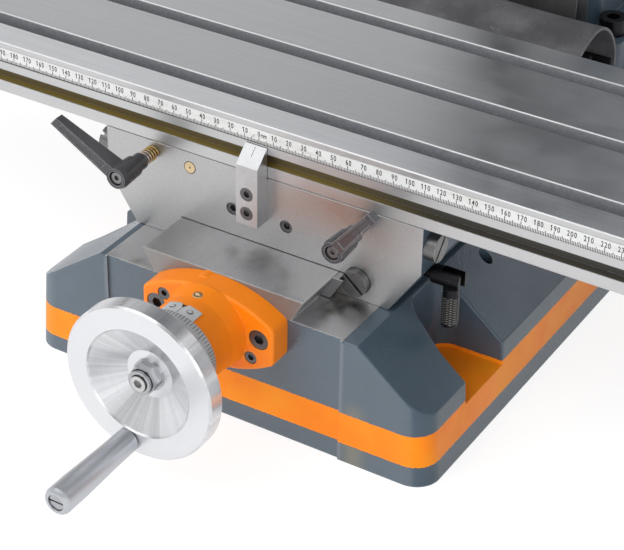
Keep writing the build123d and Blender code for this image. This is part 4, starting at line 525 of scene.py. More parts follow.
def make_column_finish(name):
    """Column: painted body and foot, ground dovetail way down its front."""
    coat = Finish(name, 1.0 * MM)
    x, y, z = coat.split(coat.place)
    across = coat.math("ABSOLUTE", x)
    paint, paint_rough, peel = painted(coat, blue_grey, blue_grey_worn, 0.34)
    metal, metal_rough, lines = ground_look(coat, "z", iron, 0.6)
    way_front = 110.0 * MM
    way_root = 125.0 * MM
    way_foot = 125.2 * MM
    screw_gap = 17.5 * MM
    ways = coat.every(coat.ramp(y, way_root + 0.3 * MM, way_root + 0.1 * MM),
                      coat.ramp(across, column_side - 0.4 * MM, column_side - 0.8 * MM),
                      coat.ramp(z, way_foot, way_foot + 0.4 * MM))
    inside = coat.every(coat.ramp(y, way_front + 0.3 * MM, way_front + 1.0 * MM),
                        coat.ramp(across, screw_gap + 2.5 * MM, screw_gap))
    metal = coat.tint(metal, inside, 0.8, iron_dark)
    coat.set(base_color=coat.mix(ways, paint, metal), metallic=ways,
             roughness=coat.blend(ways, paint_rough, metal_rough))
    coat.relief(coat.blend(ways, peel, coat.every(lines, 0.15)), 0.10 * MM, 0.7)
    return coat.material


def make_turned(name, colour, axis, centre, rough=0.24, fan=0.5, bare=1.0):
    """Turned bright metal: rings round the axis through the centre, that fan out the light, and painted
    reflections as light and dark sectors round the axis.
    """
    coat = Finish(name)
    axis_line = {"x": (1.0, 0.0, 0.0), "y": (0.0, 1.0, 0.0), "z": (0.0, 0.0, 1.0)}[axis]
    moved = coat.vector("SUBTRACT", coat.place, centre)
    along, away, across = coat.split(moved, axis)
    rings = coat.group(turning, {"Along": along, "Away": away, "Across": across})
    # Painted reflection: light and dark sectors round the axis, on all but the flat faces across it
    spoke = coat.vector("NORMALIZE", coat.joined(away, across))
    painted_reflection_sectors = coat.ramp(coat.noise(spoke, 4.0, 5.0, 0.75), 0.32, 0.68, 1.0 - 0.30 * fan, 1.0)
    facing = coat.vector("DOT_PRODUCT", coat.normal, axis_line)
    leaning = coat.ramp(coat.math("ABSOLUTE", facing), 0.97, 0.90)
    tone = coat.shade(colour, coat.every(rings["Tone"], coat.blend(leaning, 1.0, painted_reflection_sectors)))
    dull = coat.spread(coat.noise(coat.place, 60.0, 4.0), rough - 0.02, rough + 0.02)
    coat.set(base_color=tone, roughness=dull, metallic=bare)
    round_it = coat.vector("CROSS_PRODUCT", axis_line, moved)
    grooves = coat.add("VectorTransform", {"Vector": round_it}, vector_type="VECTOR", convert_from="OBJECT",
                       convert_to="WORLD").outputs[0]
    coat.set(anisotropic=fan, anisotropic_rotation=0.25, tangent=grooves)
    return coat.material


def make_plain_metal(name, colour, rough, worn_colour=None, speck=0.10):
    """Small fittings: fine grain, cloudy shine and edges rubbed brighter."""
    coat = Finish(name, 0.3 * MM)
    tone, grain = coat.grained(colour, 1.0 - speck, 1.0 + speck)
    if worn_colour:
        tone = coat.tint(tone, coat.worn(700.0, 1.4), 0.7, worn_colour)
    coat.set(base_color=tone, roughness=coat.clouded(rough - speck / 2, rough + speck / 2), metallic=1.0)
    coat.relief(grain, 0.1 * speck * MM)
    return coat.material


def make_saddle_screws(name):
    """Slotted gib screws in grey steel; the small socket screws near the middle are darker."""
    coat = Finish(name, 0.4 * MM)
    across = coat.math("ABSOLUTE", coat.split(coat.place)[0])
    socket = coat.ramp(across, small_screw_reach, small_screw_reach - 4 * MM)
    tone, grain = coat.grained(coat.mix(socket, screw_grey, bolt_grey), 0.86, 1.12, 800.0)
    tone = coat.tint(tone, coat.worn(600.0, 1.4), 0.7, worn_steel)
    coat.set(base_color=tone, roughness=coat.clouded(0.32, 0.46), metallic=1.0)
    coat.relief(grain, 0.01 * MM)
    return coat.material


def make_knurl_steel(name):
    """Blackened steel of the folding handle, its knurl rubbed bright on the tips."""
    coat = Finish(name, 0.2 * MM)
    x, y = coat.split(coat.vector("SUBTRACT", coat.place, knurl_centre))[:2]
    tips = coat.between(coat.distance(x, y), knurl_radius + 0.24 * MM, 2 * knurl_radius, 0.10 * MM)
    tone, grain = coat.grained(coat.mix(tips, linear(40, 40, 42), linear(128, 126, 122)), 0.88, 1.12)
    coat.set(base_color=tone, roughness=coat.spread(grain, 0.32, 0.44), metallic=0.7)
    return coat.material


def make_plate_metal(name):
    """Index plate: pale satin metal with a painted shadow line round each of its two rivets."""
    coat = Finish(name, 0.3 * MM)
    x, y = coat.split(coat.place)[:2]
    aside = coat.math("SUBTRACT", coat.math("ABSOLUTE", x), index_rivet_x)
    ahead = coat.math("SUBTRACT", y, (index_low.y + index_high.y) / 2)
    # Painted shadow: a dark ring round each rivet
    rivet_shadow = coat.between(coat.distance(aside, ahead), index_rivet_radius - 0.1 * MM,
                       index_rivet_radius + 0.4 * MM, 0.1 * MM)
    tone, grain = coat.grained(linear(214, 215, 217), 0.95, 1.05)
    tone = coat.tint(tone, rivet_shadow, 0.85, linear(64, 64, 66))
    coat.set(base_color=tone, roughness=coat.spread(grain, 0.30, 0.38), metallic=0.4)
    coat.relief(grain, 0.004 * MM)
    return coat.material


def make_spring_wire(name):
    """Spring wire: brass colour by the saddle, turning to steel towards the lever."""
    coat = Finish(name, 0.2 * MM)
    y = coat.split(coat.place)[1]
    steel = coat.ramp(y, saddle_low.y - 5 * MM, saddle_low.y - 10 * MM)
    wire = coat.mix(steel, linear(198, 164, 96), linear(200, 186, 176))
    tone, grain = coat.grained(wire, 0.85, 1.1)
    coat.set(base_color=tone, roughness=0.28, metallic=1.0)
    coat.relief(grain, 0.01 * MM)
    return coat.material


def make_plastic(name, colour, rough, worn_colour, grain=1500.0, depth=0.02 * MM, wear=0.9, edge=None):
    """Moulded plastic: fine grain, slight cloud, edges rubbed lighter."""
    coat = Finish(name, 0.5 * MM, edge)
    tone, clouds = coat.grained(colour, 0.88, 1.12, 40.0)
    tone = coat.tint(tone, coat.worn(400.0, wear), 0.5, worn_colour)
    coat.set(base_color=tone, roughness=coat.spread(clouds, rough - 0.05, rough + 0.05))
    coat.relief(coat.noise(coat.place, grain, 2.0, 0.5), depth)
    return coat.material


def make_rubber(name):
    """Dusty rubber sheet: matt dark grey with pale specks and smears."""
    coat = Finish(name, 0.3 * MM)
    smear = coat.noise(coat.place, 26.0, 5.0, 0.65)
    specks = coat.ramp(coat.noise(coat.place, 420.0, 2.0, 0.5), 0.68, 0.76)
    tone = coat.mix(coat.ramp(smear, 0.35, 0.75), linear(78, 78, 81), linear(112, 112, 115))
    tone = coat.tint(tone, specks, 0.35, grey(170))
    tone = coat.tint(tone, coat.worn(200.0, 2.0), 0.8, grey(196))
    coat.set(base_color=tone, roughness=coat.spread(smear, 0.5, 0.64))
    coat.relief(coat.noise(coat.place, 900.0), 0.03 * MM)
    return coat.material


def make_scale_white(name):
    """White enamel strip: a painted shadow line along its foot, bright rivets, a little grey wear."""
    coat = Finish(name, 0.2 * MM)
    x, y, z = coat.split(coat.place)
    dirt = coat.noise(coat.stretched(coat.place, 60.0, 60.0, 300.0), 1.0, 4.0)
    tone = coat.mix(coat.ramp(dirt, 0.45, 0.85), linear(208, 209, 209), linear(186, 184, 179))
    # Painted shadow: a dark line just above the strip's lower edge, stronger towards the left
    foot = coat.every(coat.ramp(z, strip_bottom + 1.0 * MM, strip_bottom + 0.7 * MM),
                      coat.ramp(x, 240 * MM, -200 * MM, 0.35, 0.95))
    tone = coat.mix(foot, tone, linear(62, 58, 50))
    rivet = coat.ramp(y, strip_face - 0.06 * MM, strip_face - 0.12 * MM)
    tone = coat.mix(rivet, tone, linear(226, 226, 224))
    coat.set(base_color=tone, roughness=coat.ramp(dirt, 0.3, 0.8, 0.32, 0.46), metallic=rivet)
    coat.relief(dirt, 0.004 * MM, 0.3)
    return coat.material


# Every finish: the CAD nodes that wear it, then what its kind of finish is given
cross_axis = ("y", (0.0, 0.0, screw_height))
table_axis = ("x", (0.0, table_middle, table_screw_height))
spindle_axis = ("z", (0.0, spindle_y, 0.0))
lift_axis = ("z", (0.0, lift_screw_y, 0.0))
finish_rows = {
    make_base_finish: {"base_finish": ("base_casting",)},
    make_saddle_finish: {"saddle_finish": ("saddle",)},
    make_table_finish: {"table_finish": ("table",)},
    make_column_finish: {"column_finish": ("column",)},
    make_saddle_screws: {"saddle_screw_steel": ("saddle_screws",)},
    make_knurl_steel: {"knurl_steel": ("",)},
    make_plate_metal: {"plate_metal": ("index_plate",)},
    make_spring_wire: {"spring_wire": ("lock_spring_left",)},
    make_rubber: {"way_cover_rubber": ("way_cover",)},
    make_scale_white: {"scale_white": ("scale_strip",)},
    make_paint: {
        "machine_paint": ("column_cap head_casting head_slide", blue_grey, blue_grey_worn),
        "orange_paint": ("cross_bracket table_brackets", orange, orange_light, 0.38, 0.10 * MM, 0.35),
        "motor_black": ("motor", linear(40, 41, 44), linear(96, 96, 98), 0.42),
    },
    make_ground: {
        "ground_along_y": ("saddle_gibs", "y", iron),
        "ground_along_z": ("head_gib", "z", iron),
        "pointer_metal": ("pointer_block", "z", linear(194, 195, 197), 0.25),
    },
    make_turned: {
        "cross_wheel_metal": ("cross_handwheel", aluminium, *cross_axis, 0.25, 0.8, 0.84),
        "table_wheel_metal": ("table_handwheels", aluminium, *table_axis, 0.25, 0.8, 0.84),
        "cross_dial_metal": ("cross_dial", dial_grey, *cross_axis, 0.36, 0.3, 0.4),
        "table_dial_metal": ("table_dials", dial_grey, *table_axis, 0.36, 0.3, 0.4),
        "cross_steel": ("cross_bearings cross_leadscrew", plated, *cross_axis, 0.24),
        "table_steel": ("table_leadscrew feed_shaft", plated, *table_axis, 0.24),
        "spindle_steel": ("motor_pulley spindle_pulley quill spindle_bearings spindle",
                          plated, *spindle_axis, 0.26),
        "lift_steel": ("lift_leadscrew", plated, *lift_axis, 0.28),
    },
    make_plain_metal: {
        "plated_steel": ("cross_wheel_fasteners table_wheel_fasteners",
                         linear(176, 177, 180), 0.17, None, 0.03),
        "bright_steel": ("lift_crank capstan", grey(186), 0.30, None, 0.05),
        "black_steel": ("column_bolts cross_lock", linear(44, 44, 47), 0.40, linear(110, 110, 112)),
        "bolt_steel": ("bracket_screws table_bracket_screws swivel_bolts",
                       bolt_grey, 0.38, linear(186, 186, 188)),
        "stud_steel": ("lock_stud_left lock_stud_right", linear(132, 132, 133), 0.36, worn_steel),
        "bronze": ("feed_nuts lift_nut", linear(190, 150, 92), 0.34),
        "brass_plug": ("", linear(216, 194, 156), 0.34, None, 0.04),
        "grip_metal": ("cross_grip table_grip_left table_grip_right lift_grip",
                       linear(190, 193, 198), 0.42, None, 0.015),
    },
    make_plastic: {
        "lever_plastic": ("lock_lever_left lock_lever_right", linear(66, 66, 70), 0.26,
                          linear(172, 172, 176), 1500.0, 0.02 * MM, 1.6, 1.3 * MM),
        "knob_black": ("head_lock_lever quill_lock_lever capstan_knobs speed_knob",
                       linear(30, 30, 32), 0.28, linear(80, 80, 82)),
        "cover_plastic": ("head_cover", linear(44, 45, 48), 0.46, linear(95, 95, 98), 900.0, 0.05 * MM),
        "box_plastic": ("control_box", linear(52, 54, 58), 0.45, linear(100, 100, 104), 900.0, 0.05 * MM),
        "window_glass": ("", linear(16, 18, 20), 0.10, linear(40, 40, 42), 60.0, 0.002 * MM),
        "stop_red": ("stop_button", linear(196, 28, 24), 0.28, linear(226, 90, 80)),
        "start_green": ("start_button", linear(30, 132, 62), 0.30, linear(100, 180, 120)),
        "belt_rubber": ("drive_belt", grey(34), 0.62, grey(60)),
        "enamel": ("", linear(224, 225, 224), 0.36, grey(240), 300.0, 0.004 * MM),
        "mark_black": ("", linear(22, 22, 24), 0.5, grey(60)),
        "mark_white": ("", grey(226), 0.5, grey(240)),
    },
}
finishes = {}
for make, rows in finish_rows.items():
    for name, (wearers, *values) in rows.items():
        finishes[name] = make(name, *values)
        for wearer in wearers.split():
            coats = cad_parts[wearer].data.materials
            coats.clear()
            coats.append(finishes[name])


# Modelling by hand: a primitive is opened in edit mode, shaped, closed and put in place

def deselect():
    if bpy.context.object and bpy.context.object.mode == "EDIT":
        bpy.ops.object.mode_set(mode="OBJECT")
    bpy.ops.object.select_all(action="DESELECT")


def pick(shapes):
    """Select these shapes alone, the first of them active."""
    deselect()
    for shape in shapes:
        shape.select_set(True)
    bpy.context.view_layer.objects.active = shapes[0]


def open_shape(add, **values):
    """A new primitive, alone in the selection and open in edit mode."""
    deselect()
    add(**values)
    bpy.ops.object.mode_set(mode="EDIT")
    return bpy.context.object


def choose(shape, kind, test):
    """Select the points, edges or faces that pass the test: kind is VERT, EDGE or FACE."""
    bpy.ops.mesh.select_mode(type=kind)
    bpy.ops.mesh.select_all(action="DESELECT")
    mesh = bmesh.from_edit_mesh(shape.data)
    for item in {"VERT": mesh.verts, "EDGE": mesh.edges, "FACE": mesh.faces}[kind]:
        item.select_set(test(item))
    mesh.select_flush_mode()
    bmesh.update_edit_mesh(shape.data)


def close_shape(shape, smooth=35.0, place=Matrix()):
    """Leave edit mode, smooth all but the sharper edges and put the shape in place."""
    bpy.ops.object.mode_set(mode="OBJECT")
    bpy.ops.object.transform_apply(location=True, rotation=True, scale=True)
    bpy.ops.object.shade_smooth_by_angle(angle=math.radians(smooth))
    shape.data.transform(place)
    return shape


def join(shapes):
    pick(shapes)
    bpy.ops.object.join()
    return shapes[0]


def copied(shape, places):
    """The shape copied to each place, each copy with its own mesh, all joined into one."""
    made = []
    for place in places:
        copy = shape.copy()
        copy.data = shape.data.copy()
        copy.data.transform(place)
        bpy.context.scene.collection.objects.link(copy)
        made.append(copy)
    bpy.data.objects.remove(shape)
    return join(made)


def put_on(piece, name, body, finish):
    """Name the finished piece, give it its finish and let it ride on its body."""
    piece.name = name
    piece.data.name = name
    piece.data.materials.clear()
    piece.data.materials.append(finishes[finish])
    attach(piece, body)


def at(x, y, z):
    return Matrix.Translation((x, y, z))


def turned_by(degrees, axis):
    return Matrix.Rotation(math.radians(degrees), 4, axis)


facing_front = turned_by(90.0, "X")


def block(size, place, round_edge=0.0, segments=2):
    """A block, its edges rounded where asked for, made about the origin and put in place."""
    shape = open_shape(bpy.ops.mesh.primitive_cube_add, size=1.0)
    bpy.ops.transform.resize(value=size)
    if round_edge:
        bpy.ops.mesh.bevel(offset=round_edge, segments=segments)
    return close_shape(shape, place=place)


def rounded_plug(radius, rings, place, sides=40):
    """A round fitting about z: a cylinder whose top is stepped by rings of (inset, rise)."""
    shape = open_shape(bpy.ops.mesh.primitive_cylinder_add, vertices=sides, radius=radius, depth=2.0 * MM)
    bpy.ops.transform.translate(value=(0.0, 0.0, -1.0 * MM))
    choose(shape, "FACE", lambda face: face.normal.z > 0.9)
    for inset, rise in rings:
        bpy.ops.mesh.inset(thickness=inset, depth=rise)
    return close_shape(shape, 30.0, place)


def wire_ring(radius, wire_radius, place, around, sides):
    """A ring of round wire whose axis is y, put in place."""
    shape = open_shape(bpy.ops.mesh.primitive_torus_add, major_radius=radius, minor_radius=wire_radius,
                       major_segments=around, minor_segments=sides)
    return close_shape(shape, 60.0, place @ facing_front)


def socket_screw(radius):
    """A button-head socket screw about z, its seat at z = 0."""
    rings = [(0.18 * radius, 0.22 * radius), (0.22 * radius, 0.10 * radius), (0.12 * radius, 0.0),
             (0.05 * radius, -0.35 * radius)]
    return rounded_plug(radius, rings, at(0.0, 0.0, 0.35 * radius), 24)


def put_screws(name, body, radius, places):
    put_on(copied(socket_screw(radius), places), name, body, "bolt_steel")


# Scale marks and numbers

def mark(length, width):
    """One printed bar: stands on z = 0 and shows its face to the front."""
    return block((width, 2 * mark_proud, length), at(0.0, 0.0, length / 2))


def marks(rows, width=mark_width):
    """Printed bars, one for each (length, place); a length is modelled once and copied."""
    spots = {}
    for length, place in rows:
        spots.setdefault(length, []).append(place)
    return join([copied(mark(length, width), places) for length, places in spots.items()])


def graded(number, lengths):
    """Length of a numbered mark: long at each ten, middle at each five, short elsewhere."""
    ten, five, one = lengths
    return {0: ten, 5: five}.get(number % 10, one)


def scale_marks(first, last):
    """Millimetre marks along x from the first up to the last."""
    return marks([(graded(step, scale_lengths), at(step * MM, 0.0, 0.0)) for step in range(first, last)])


def lettered(text, height, align="CENTER", narrow=number_narrow):
    """Printed text: a thin mesh that stands on the origin, its face to the front."""
    deselect()
    bpy.ops.object.text_add()
    words = bpy.context.object
    words.data.body = text
    words.data.align_x = align
    words.data.size = height / digit_height
    words.data.extrude = mark_proud
    words.data.offset = number_bold
    words.data.resolution_u = 3
    bpy.ops.object.convert(target="MESH")
    printed = bpy.context.object
    printed.data.transform(facing_front @ Matrix.Diagonal((narrow, 1.0, 1.0, 1.0)))
    return printed


def figure_one(height):
    """The figure one: an upright bar with its flag."""
    lean = at(-0.19 * height, 0.0, 0.76 * height) @ turned_by(45.0, "Y")
    return marks([(height, Matrix()), (0.27 * height, lean)], number_stroke)


def figures(numbers):
    """Printed numbers, each (text, place of its middle); every figure is made once and copied."""
    places = {}
    for text, middle in numbers:
        for order, figure in enumerate(text):
            shift = at((order - (len(text) - 1) / 2) * digit_pitch, 0.0, 0.0)
            places.setdefault(figure, []).append(middle @ shift)
    made = []
    for figure, spots in places.items():
        shape = figure_one(number_height) if figure == "1" else lettered(figure, number_height)
        made.append(copied(shape, spots))
    return join(made)


def make_table_scale():
    bars = scale_marks(-10 * strip_decades - 5, 10 * strip_decades + 5)
    bars.data.transform(at(0.0, strip_face, strip_bottom))
    put_on(bars, "scale_marks", "table", "mark_black")
    numbers = []
    for decade in range(-strip_decades, strip_decades + 1):
        shift = number_shift if decade else 0.0
        place = at(decade * strip_step + shift, strip_face, strip_bottom + number_rise)
        numbers.append((str(abs(decade) * 10), place))
    unit = lettered("mm", 0.9 * number_height, "LEFT", 0.62)
    unit.data.transform(at(1.25 * MM, strip_face, strip_bottom + number_rise))
    put_on(join([figures(numbers), unit]), "scale_numbers", "table", "mark_black")


def make_dial_marks(name, body, place):
    """Marks round a dial whose axis is y and whose index edge is at y = 0, then put in place."""
    rows = []
    for division in range(dial_divisions):
        length = graded(division, dial_lengths)
        lying = at(0.0, -length - dial_mark_gap, dial_radius) @ turned_by(-90.0, "X")
        rows.append((length, place @ turned_by(360.0 * division / dial_divisions, "Y") @ lying))
    put_on(marks(rows, 0.34 * MM), name, body, "mark_black")


def make_pointer_line():
    """Engraved line down the bevel of the pointer block."""
    bevel = Vector((0.0, 10.7, 10.0)) * MM
    length = 6.5 * MM
    from_top = 1.2 * MM
    top = Vector(((pointer_low.x + pointer_high.x) / 2, strip_face, pointer_high.z))
    foot = top - bevel.normalized() * (length + from_top)
    lean = math.degrees(math.atan2(bevel.y, bevel.z))
    line = marks([(length, at(*foot) @ turned_by(-lean, "X"))], 0.26 * MM)
    put_on(line, "pointer_line", "saddle", "mark_black")


def make_index_notch():
    """Dark arrow in the index plate's rear edge and the thin line from its point to the dial."""
    half_width = 3.8 * MM
    depth = 4.8 * MM
    radius = half_width / math.cos(math.radians(30.0))
    arrow = open_shape(bpy.ops.mesh.primitive_cylinder_add, vertices=3, radius=radius, depth=0.6 * MM)
    bpy.ops.transform.resize(value=(1.0, depth / (1.5 * radius), 1.0))
    choose(arrow, "FACE", lambda face: face.normal.z > 0.9)
    bpy.ops.mesh.inset(thickness=0.2 * MM, depth=0.03 * MM)
    arrow_height = index_high.z - 1.25 * MM
    close_shape(arrow, place=at(0.0, index_high.y - depth / 3, arrow_height) @ turned_by(180.0, "Z"))
    length = index_high.y - index_low.y - depth
    plate_top = boss_top + 0.8 * MM
    line = marks([(length, at(0.0, index_low.y, plate_top) @ turned_by(-90.0, "X"))], 0.3 * MM)
    put_on(join([arrow, line]), "index_arrow", "base", "mark_black")


# Small fittings

def make_oil_plug():
    """Pale brass oil plug with crossed slots in the front of the saddle, and the dark edge of its seat."""
    middle = at(-49.3 * MM, saddle_low.y, 138.05 * MM)
    rings = [(0.12 * MM, 0.12 * MM), (2.5 * MM, 0.0), (0.3 * MM, -0.1 * MM), (0.3 * MM, 0.05 * MM)]
    plug = rounded_plug(3.75 * MM, rings, middle @ at(0.0, -0.12 * MM, 0.0) @ facing_front)
    put_on(plug, "oil_plug", "saddle", "brass_plug")
    length = 3.4 * MM
    centred = at(0.0, -0.14 * MM, -length / 2)
    slots = marks([(length, middle @ turned_by(turn, "Y") @ centred) for turn in (45.0, -45.0)], 0.4 * MM)
    put_on(slots, "oil_plug_slots", "saddle", "bronze")
    seat = rounded_plug(4.15 * MM, [(0.1 * MM, 0.03 * MM)], middle @ at(0.0, -0.03 * MM, 0.0) @ facing_front)
    put_on(seat, "oil_plug_seat", "saddle", "black_steel")


def make_ball_oiler():
    """Spring-ball oiler on top of the bracket's boss."""
    place = at(0.0, -273.0 * MM, boss_top + 0.35 * MM)
    rings = [(0.2 * MM, 0.2 * MM), (0.6 * MM, 0.0), (0.25 * MM, -0.9 * MM)]
    put_on(rounded_plug(3.2 * MM, rings, place), "oiler_cup", "base", "brass_plug")
    ball = open_shape(bpy.ops.mesh.primitive_uv_sphere_add, segments=28, ring_count=16, radius=1.75 * MM)
    choose(ball, "VERT", lambda point: point.co.z < -0.4 * MM)
    bpy.ops.transform.resize(value=(0.8, 0.8, 0.5))
    close_shape(ball, 60.0, place)
    put_on(ball, "oiler_ball", "base", "brass_plug")


def make_lock_knurl():
    """Diamond knurling on the folding handle of the cross-slide lock."""
    around = 30
    rows = 24
    ridge = 1.08
    length = 19.5 * MM
    bare_end = 1.5 * MM
    sleeve = open_shape(bpy.ops.mesh.primitive_cylinder_add, vertices=around, radius=knurl_radius,
                        depth=length)
    choose(sleeve, "EDGE", lambda edge: edge.calc_length() > length / 2)
    bpy.ops.mesh.subdivide(number_cuts=rows - 1)

    def is_ridge(point):
        column = round(math.atan2(point.co.y, point.co.x) / (2 * math.pi) * around)
        row = round((point.co.z + length / 2) / length * rows)
        return 0 < row < rows and (column + row) % 2 == 0
    choose(sleeve, "VERT", is_ridge)
    bpy.ops.transform.resize(value=(ridge, ridge, 1.0), center_override=(0.0, 0.0, 0.0))
    bpy.ops.mesh.select_all(action="SELECT")
    bpy.ops.mesh.quads_convert_to_tris(quad_method="SHORTEST_DIAGONAL")
    close_shape(sleeve, 10.0, at(knurl_centre.x, knurl_centre.y, lock_low.z + length / 2 + bare_end))
    put_on(sleeve, "lock_knurl", "cross_lock", "knurl_steel")


def make_nut_shade_rings(name, body, place):
    """Dark rings of painted shade in the gaps of a handwheel's lock nut: round its thread end and under its
    collar; its axis is -y.
    """
    thread_end = wire_ring(5.2 * MM, 0.34 * MM, place @ at(0.0, -21.3 * MM, 0.0), 48, 8)
    collar = wire_ring(7.45 * MM, 0.3 * MM, place @ at(0.0, -18.9 * MM, 0.0), 48, 8)
    put_on(join([thread_end, collar]), name, body, "black_steel")


# Rubber way cover with its clamp strips

def cover_arch():
    """Points along the arch, as (y, z) in metres, and the length of rubber in it."""
    knots = [(Vector(place) * MM, Vector(heading).normalized()) for place, heading in cover_knots]
    points = []
    for (start, leave), (end, arrive) in zip(knots, knots[1:]):
        reach = (end - start).length * cover_handle_share
        run = interpolate_bezier(start, start + leave * reach, end - arrive * reach, end, 17)
        points.extend(run if not points else run[1:])
    length = sum((after - before).length for before, after in zip(points, points[1:]))
    return points, length


def make_way_cover():
    points, length = cover_arch()
    columns = 36
    rows = len(points) - 1
    grid = open_shape(bpy.ops.mesh.primitive_grid_add, x_subdivisions=columns, y_subdivisions=rows, size=1.0)
    close_shape(grid)
    for point in grid.data.vertices:
        row = round((point.co.y + 0.5) * rows)
        across = point.co.x
        y, z = points[row]
        slack = 0.6 * MM * math.sin(math.pi * row / rows) * math.cos(9.0 * across + 0.4)
        point.co = (across * 2 * cover_half_width, y, z + slack)
    pick([grid])
    wall = grid.modifiers.new("sheet", "SOLIDIFY")
    wall.thickness = cover_sheet
    wall.offset = 0.0
    bpy.ops.object.modifier_apply(modifier=wall.name)
    bpy.ops.object.mode_set(mode="EDIT")
    bpy.ops.mesh.select_all(action="SELECT")
    bpy.ops.mesh.normals_make_consistent(inside=False)
    close_shape(grid, 40.0)
    grid.name = "rubber_way_cover"
    grid.data.materials.append(finishes["way_cover_rubber"])
    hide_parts("way_cover")
    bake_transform(grid)


def clamp_strip(height, place):
    """A flat bar with rounded edges that presses the rubber's end, its face towards +y."""
    thick = 2.0 * MM
    bar = block((2 * cover_half_width - 4 * MM, thick, height), place, 0.5 * MM)
    screw = socket_screw(0.3 * height)
    screw.data.transform(turned_by(-90.0, "X"))
    return join([bar, copied(screw, [place @ at(x, thick / 2, 0.0) for x in cover_screw_x])])


def make_clamp_strips():
    front = clamp_strip(9.0 * MM, at(0.0, saddle_high.y + 3.6 * MM, 107.0 * MM))
    put_on(front, "cover_strip_saddle", "saddle", "bright_steel")
    rear = clamp_strip(7.0 * MM, at(0.0, 100.4 * MM, 114.0 * MM) @ turned_by(180.0, "Z"))
    put_on(rear, "cover_strip_column", "base", "black_steel")


# Head, motor and column details

def make_motor_details():
    """Cooling fins round the motor and a grille of rings in its fan cap."""
    fin_place = at(0.0, motor_shell + 0.6 * MM, motor_low.z + 74.0 * MM)
    fin = block((1.6 * MM, 6.0 * MM, 118.0 * MM), fin_place, 0.5 * MM)
    turns = [at(0.0, motor_y, 0.0) @ turned_by(360.0 * turn / fin_count, "Z") for turn in range(fin_count)]
    put_on(copied(fin, turns), "motor_fins", "head", "motor_black")
    groove = [(2.2 * MM, 0.0), (0.5 * MM, -0.9 * MM), (2.6 * MM, 0.0), (0.5 * MM, 0.9 * MM)]
    rings = [(0.6 * MM, 0.8 * MM)] + 5 * groove
    grille = rounded_plug(40.0 * MM, rings, at(0.0, motor_y, motor_high.z), 72)
    put_on(grille, "fan_grille", "head", "motor_black")


def make_cover_screws():
    """Socket screws in the belt cover's corners and in the plate on top of the column."""
    rows = (("belt_cover_screws", "head", 4.5 * MM, (-128.0, 46.0), motor_low.z),
            ("cap_screws", "base", 5.0 * MM, (119.0, 231.0), cap_low.z + 12.0 * MM))
    for name, body, radius, depths, top in rows:
        places = [at(x, y * MM, top) for x in (-plate_screw_x, plate_screw_x) for y in depths]
        put_screws(name, body, radius, places)


def make_control_panel():
    """Speed marks round the knob, rings round the buttons, a dark window and corner screws."""
    face = box_low.y
    row = box_low.z + 25.0 * MM
    first_turn = -135.0
    turn_step = 27.0
    knob = at(panel_control_x, face, row)
    turns = [turned_by(first_turn + turn_step * step, "Y") for step in range(11)]
    speed_marks = marks([(2.6 * MM, knob @ turn @ at(0.0, 0.0, 17.2 * MM)) for turn in turns], 0.8 * MM)
    put_on(speed_marks, "speed_marks", "head", "mark_white")
    buttons = ((-panel_control_x, 12.0 * MM), (0.0, 12.6 * MM))
    rings = [wire_ring(radius, 0.7 * MM, at(x, face, row), 56, 10) for x, radius in buttons]
    put_on(join(rings), "button_rings", "head", "bright_steel")
    window = block((76.0 * MM, 2.4 * MM, 32.0 * MM), at(0.0, face - 0.2 * MM, box_low.z + 76.0 * MM))
    put_on(window, "speed_window", "head", "window_glass")
    corners = [(x * MM, box_low.z + z * MM) for x in (-50.0, 50.0) for z in (8.0, 102.0)]
    put_screws("panel_screws", "head", 2.6 * MM, [at(x, face, z) @ facing_front for x, z in corners])


def make_column_scale():
    """Height scale on the column's right side and the pointer on the head slide that reads it."""
    length = column_scale_decades * strip_step
    face = column_side + 0.5 * MM
    strip_place = at(column_side, column_scale_y, column_scale_low + length / 2)
    strip = block((1.0 * MM, 11.0 * MM, length + 16.0 * MM), strip_place, 0.2 * MM, 1)
    put_on(strip, "column_scale", "base", "enamel")
    upright = Matrix(((0, -1, 0, 0), (0, 0, -1, 0), (1, 0, 0, 0), (0, 0, 0, 1)))
    bars = scale_marks(-5, 10 * column_scale_decades - 5)
    bars.data.transform(at(face, column_scale_y - 0.6 * MM, column_scale_low) @ upright)
    put_on(bars, "column_scale_marks", "base", "mark_black")
    turned_small = turned_by(90.0, "Z") @ Matrix.Scale(0.62, 4)
    numbers = []
    for decade in range(column_scale_decades):
        height = column_scale_low + decade * strip_step - 0.25 * number_height
        numbers.append((str(decade * 10), at(face, column_scale_y + 2.6 * MM, height) @ turned_small))
    put_on(figures(numbers), "column_scale_numbers", "base", "mark_black")
    middle = (slide_low.z + slide_high.z) / 2
    hand_place = at(column_side + 2.6 * MM, slide_high.y + 6.5 * MM, middle)
    hand = block((2.0 * MM, 15.0 * MM, 8.0 * MM), hand_place, 0.4 * MM, 1)
    for point in hand.data.vertices:
        if point.co.y > slide_high.y + 12.0 * MM:
            point.co.z = middle + (point.co.z - middle) * 0.15
    put_on(hand, "height_pointer", "head_slide", "orange_paint")


make_table_scale()
make_dial_marks("cross_dial_marks", "cross_screw", at(0.0, dial_high.y, screw_height))
# Marks of both table dials, and dark rings of painted shade in the gaps of their lock nuts
for side, inner, turn in (("right", table_dial_high.x - dial_length, 90.0),
                          ("left", table_dial_low.x + dial_length, -90.0)):
    axis_place = at(inner, table_middle, table_screw_height) @ turned_by(turn, "Z")
    make_dial_marks("table_dial_marks_" + side, "table_screw", axis_place)
    make_nut_shade_rings("table_nut_rings_" + side, "table_screw", axis_place @ at(0.0, -dial_length, 0.0))
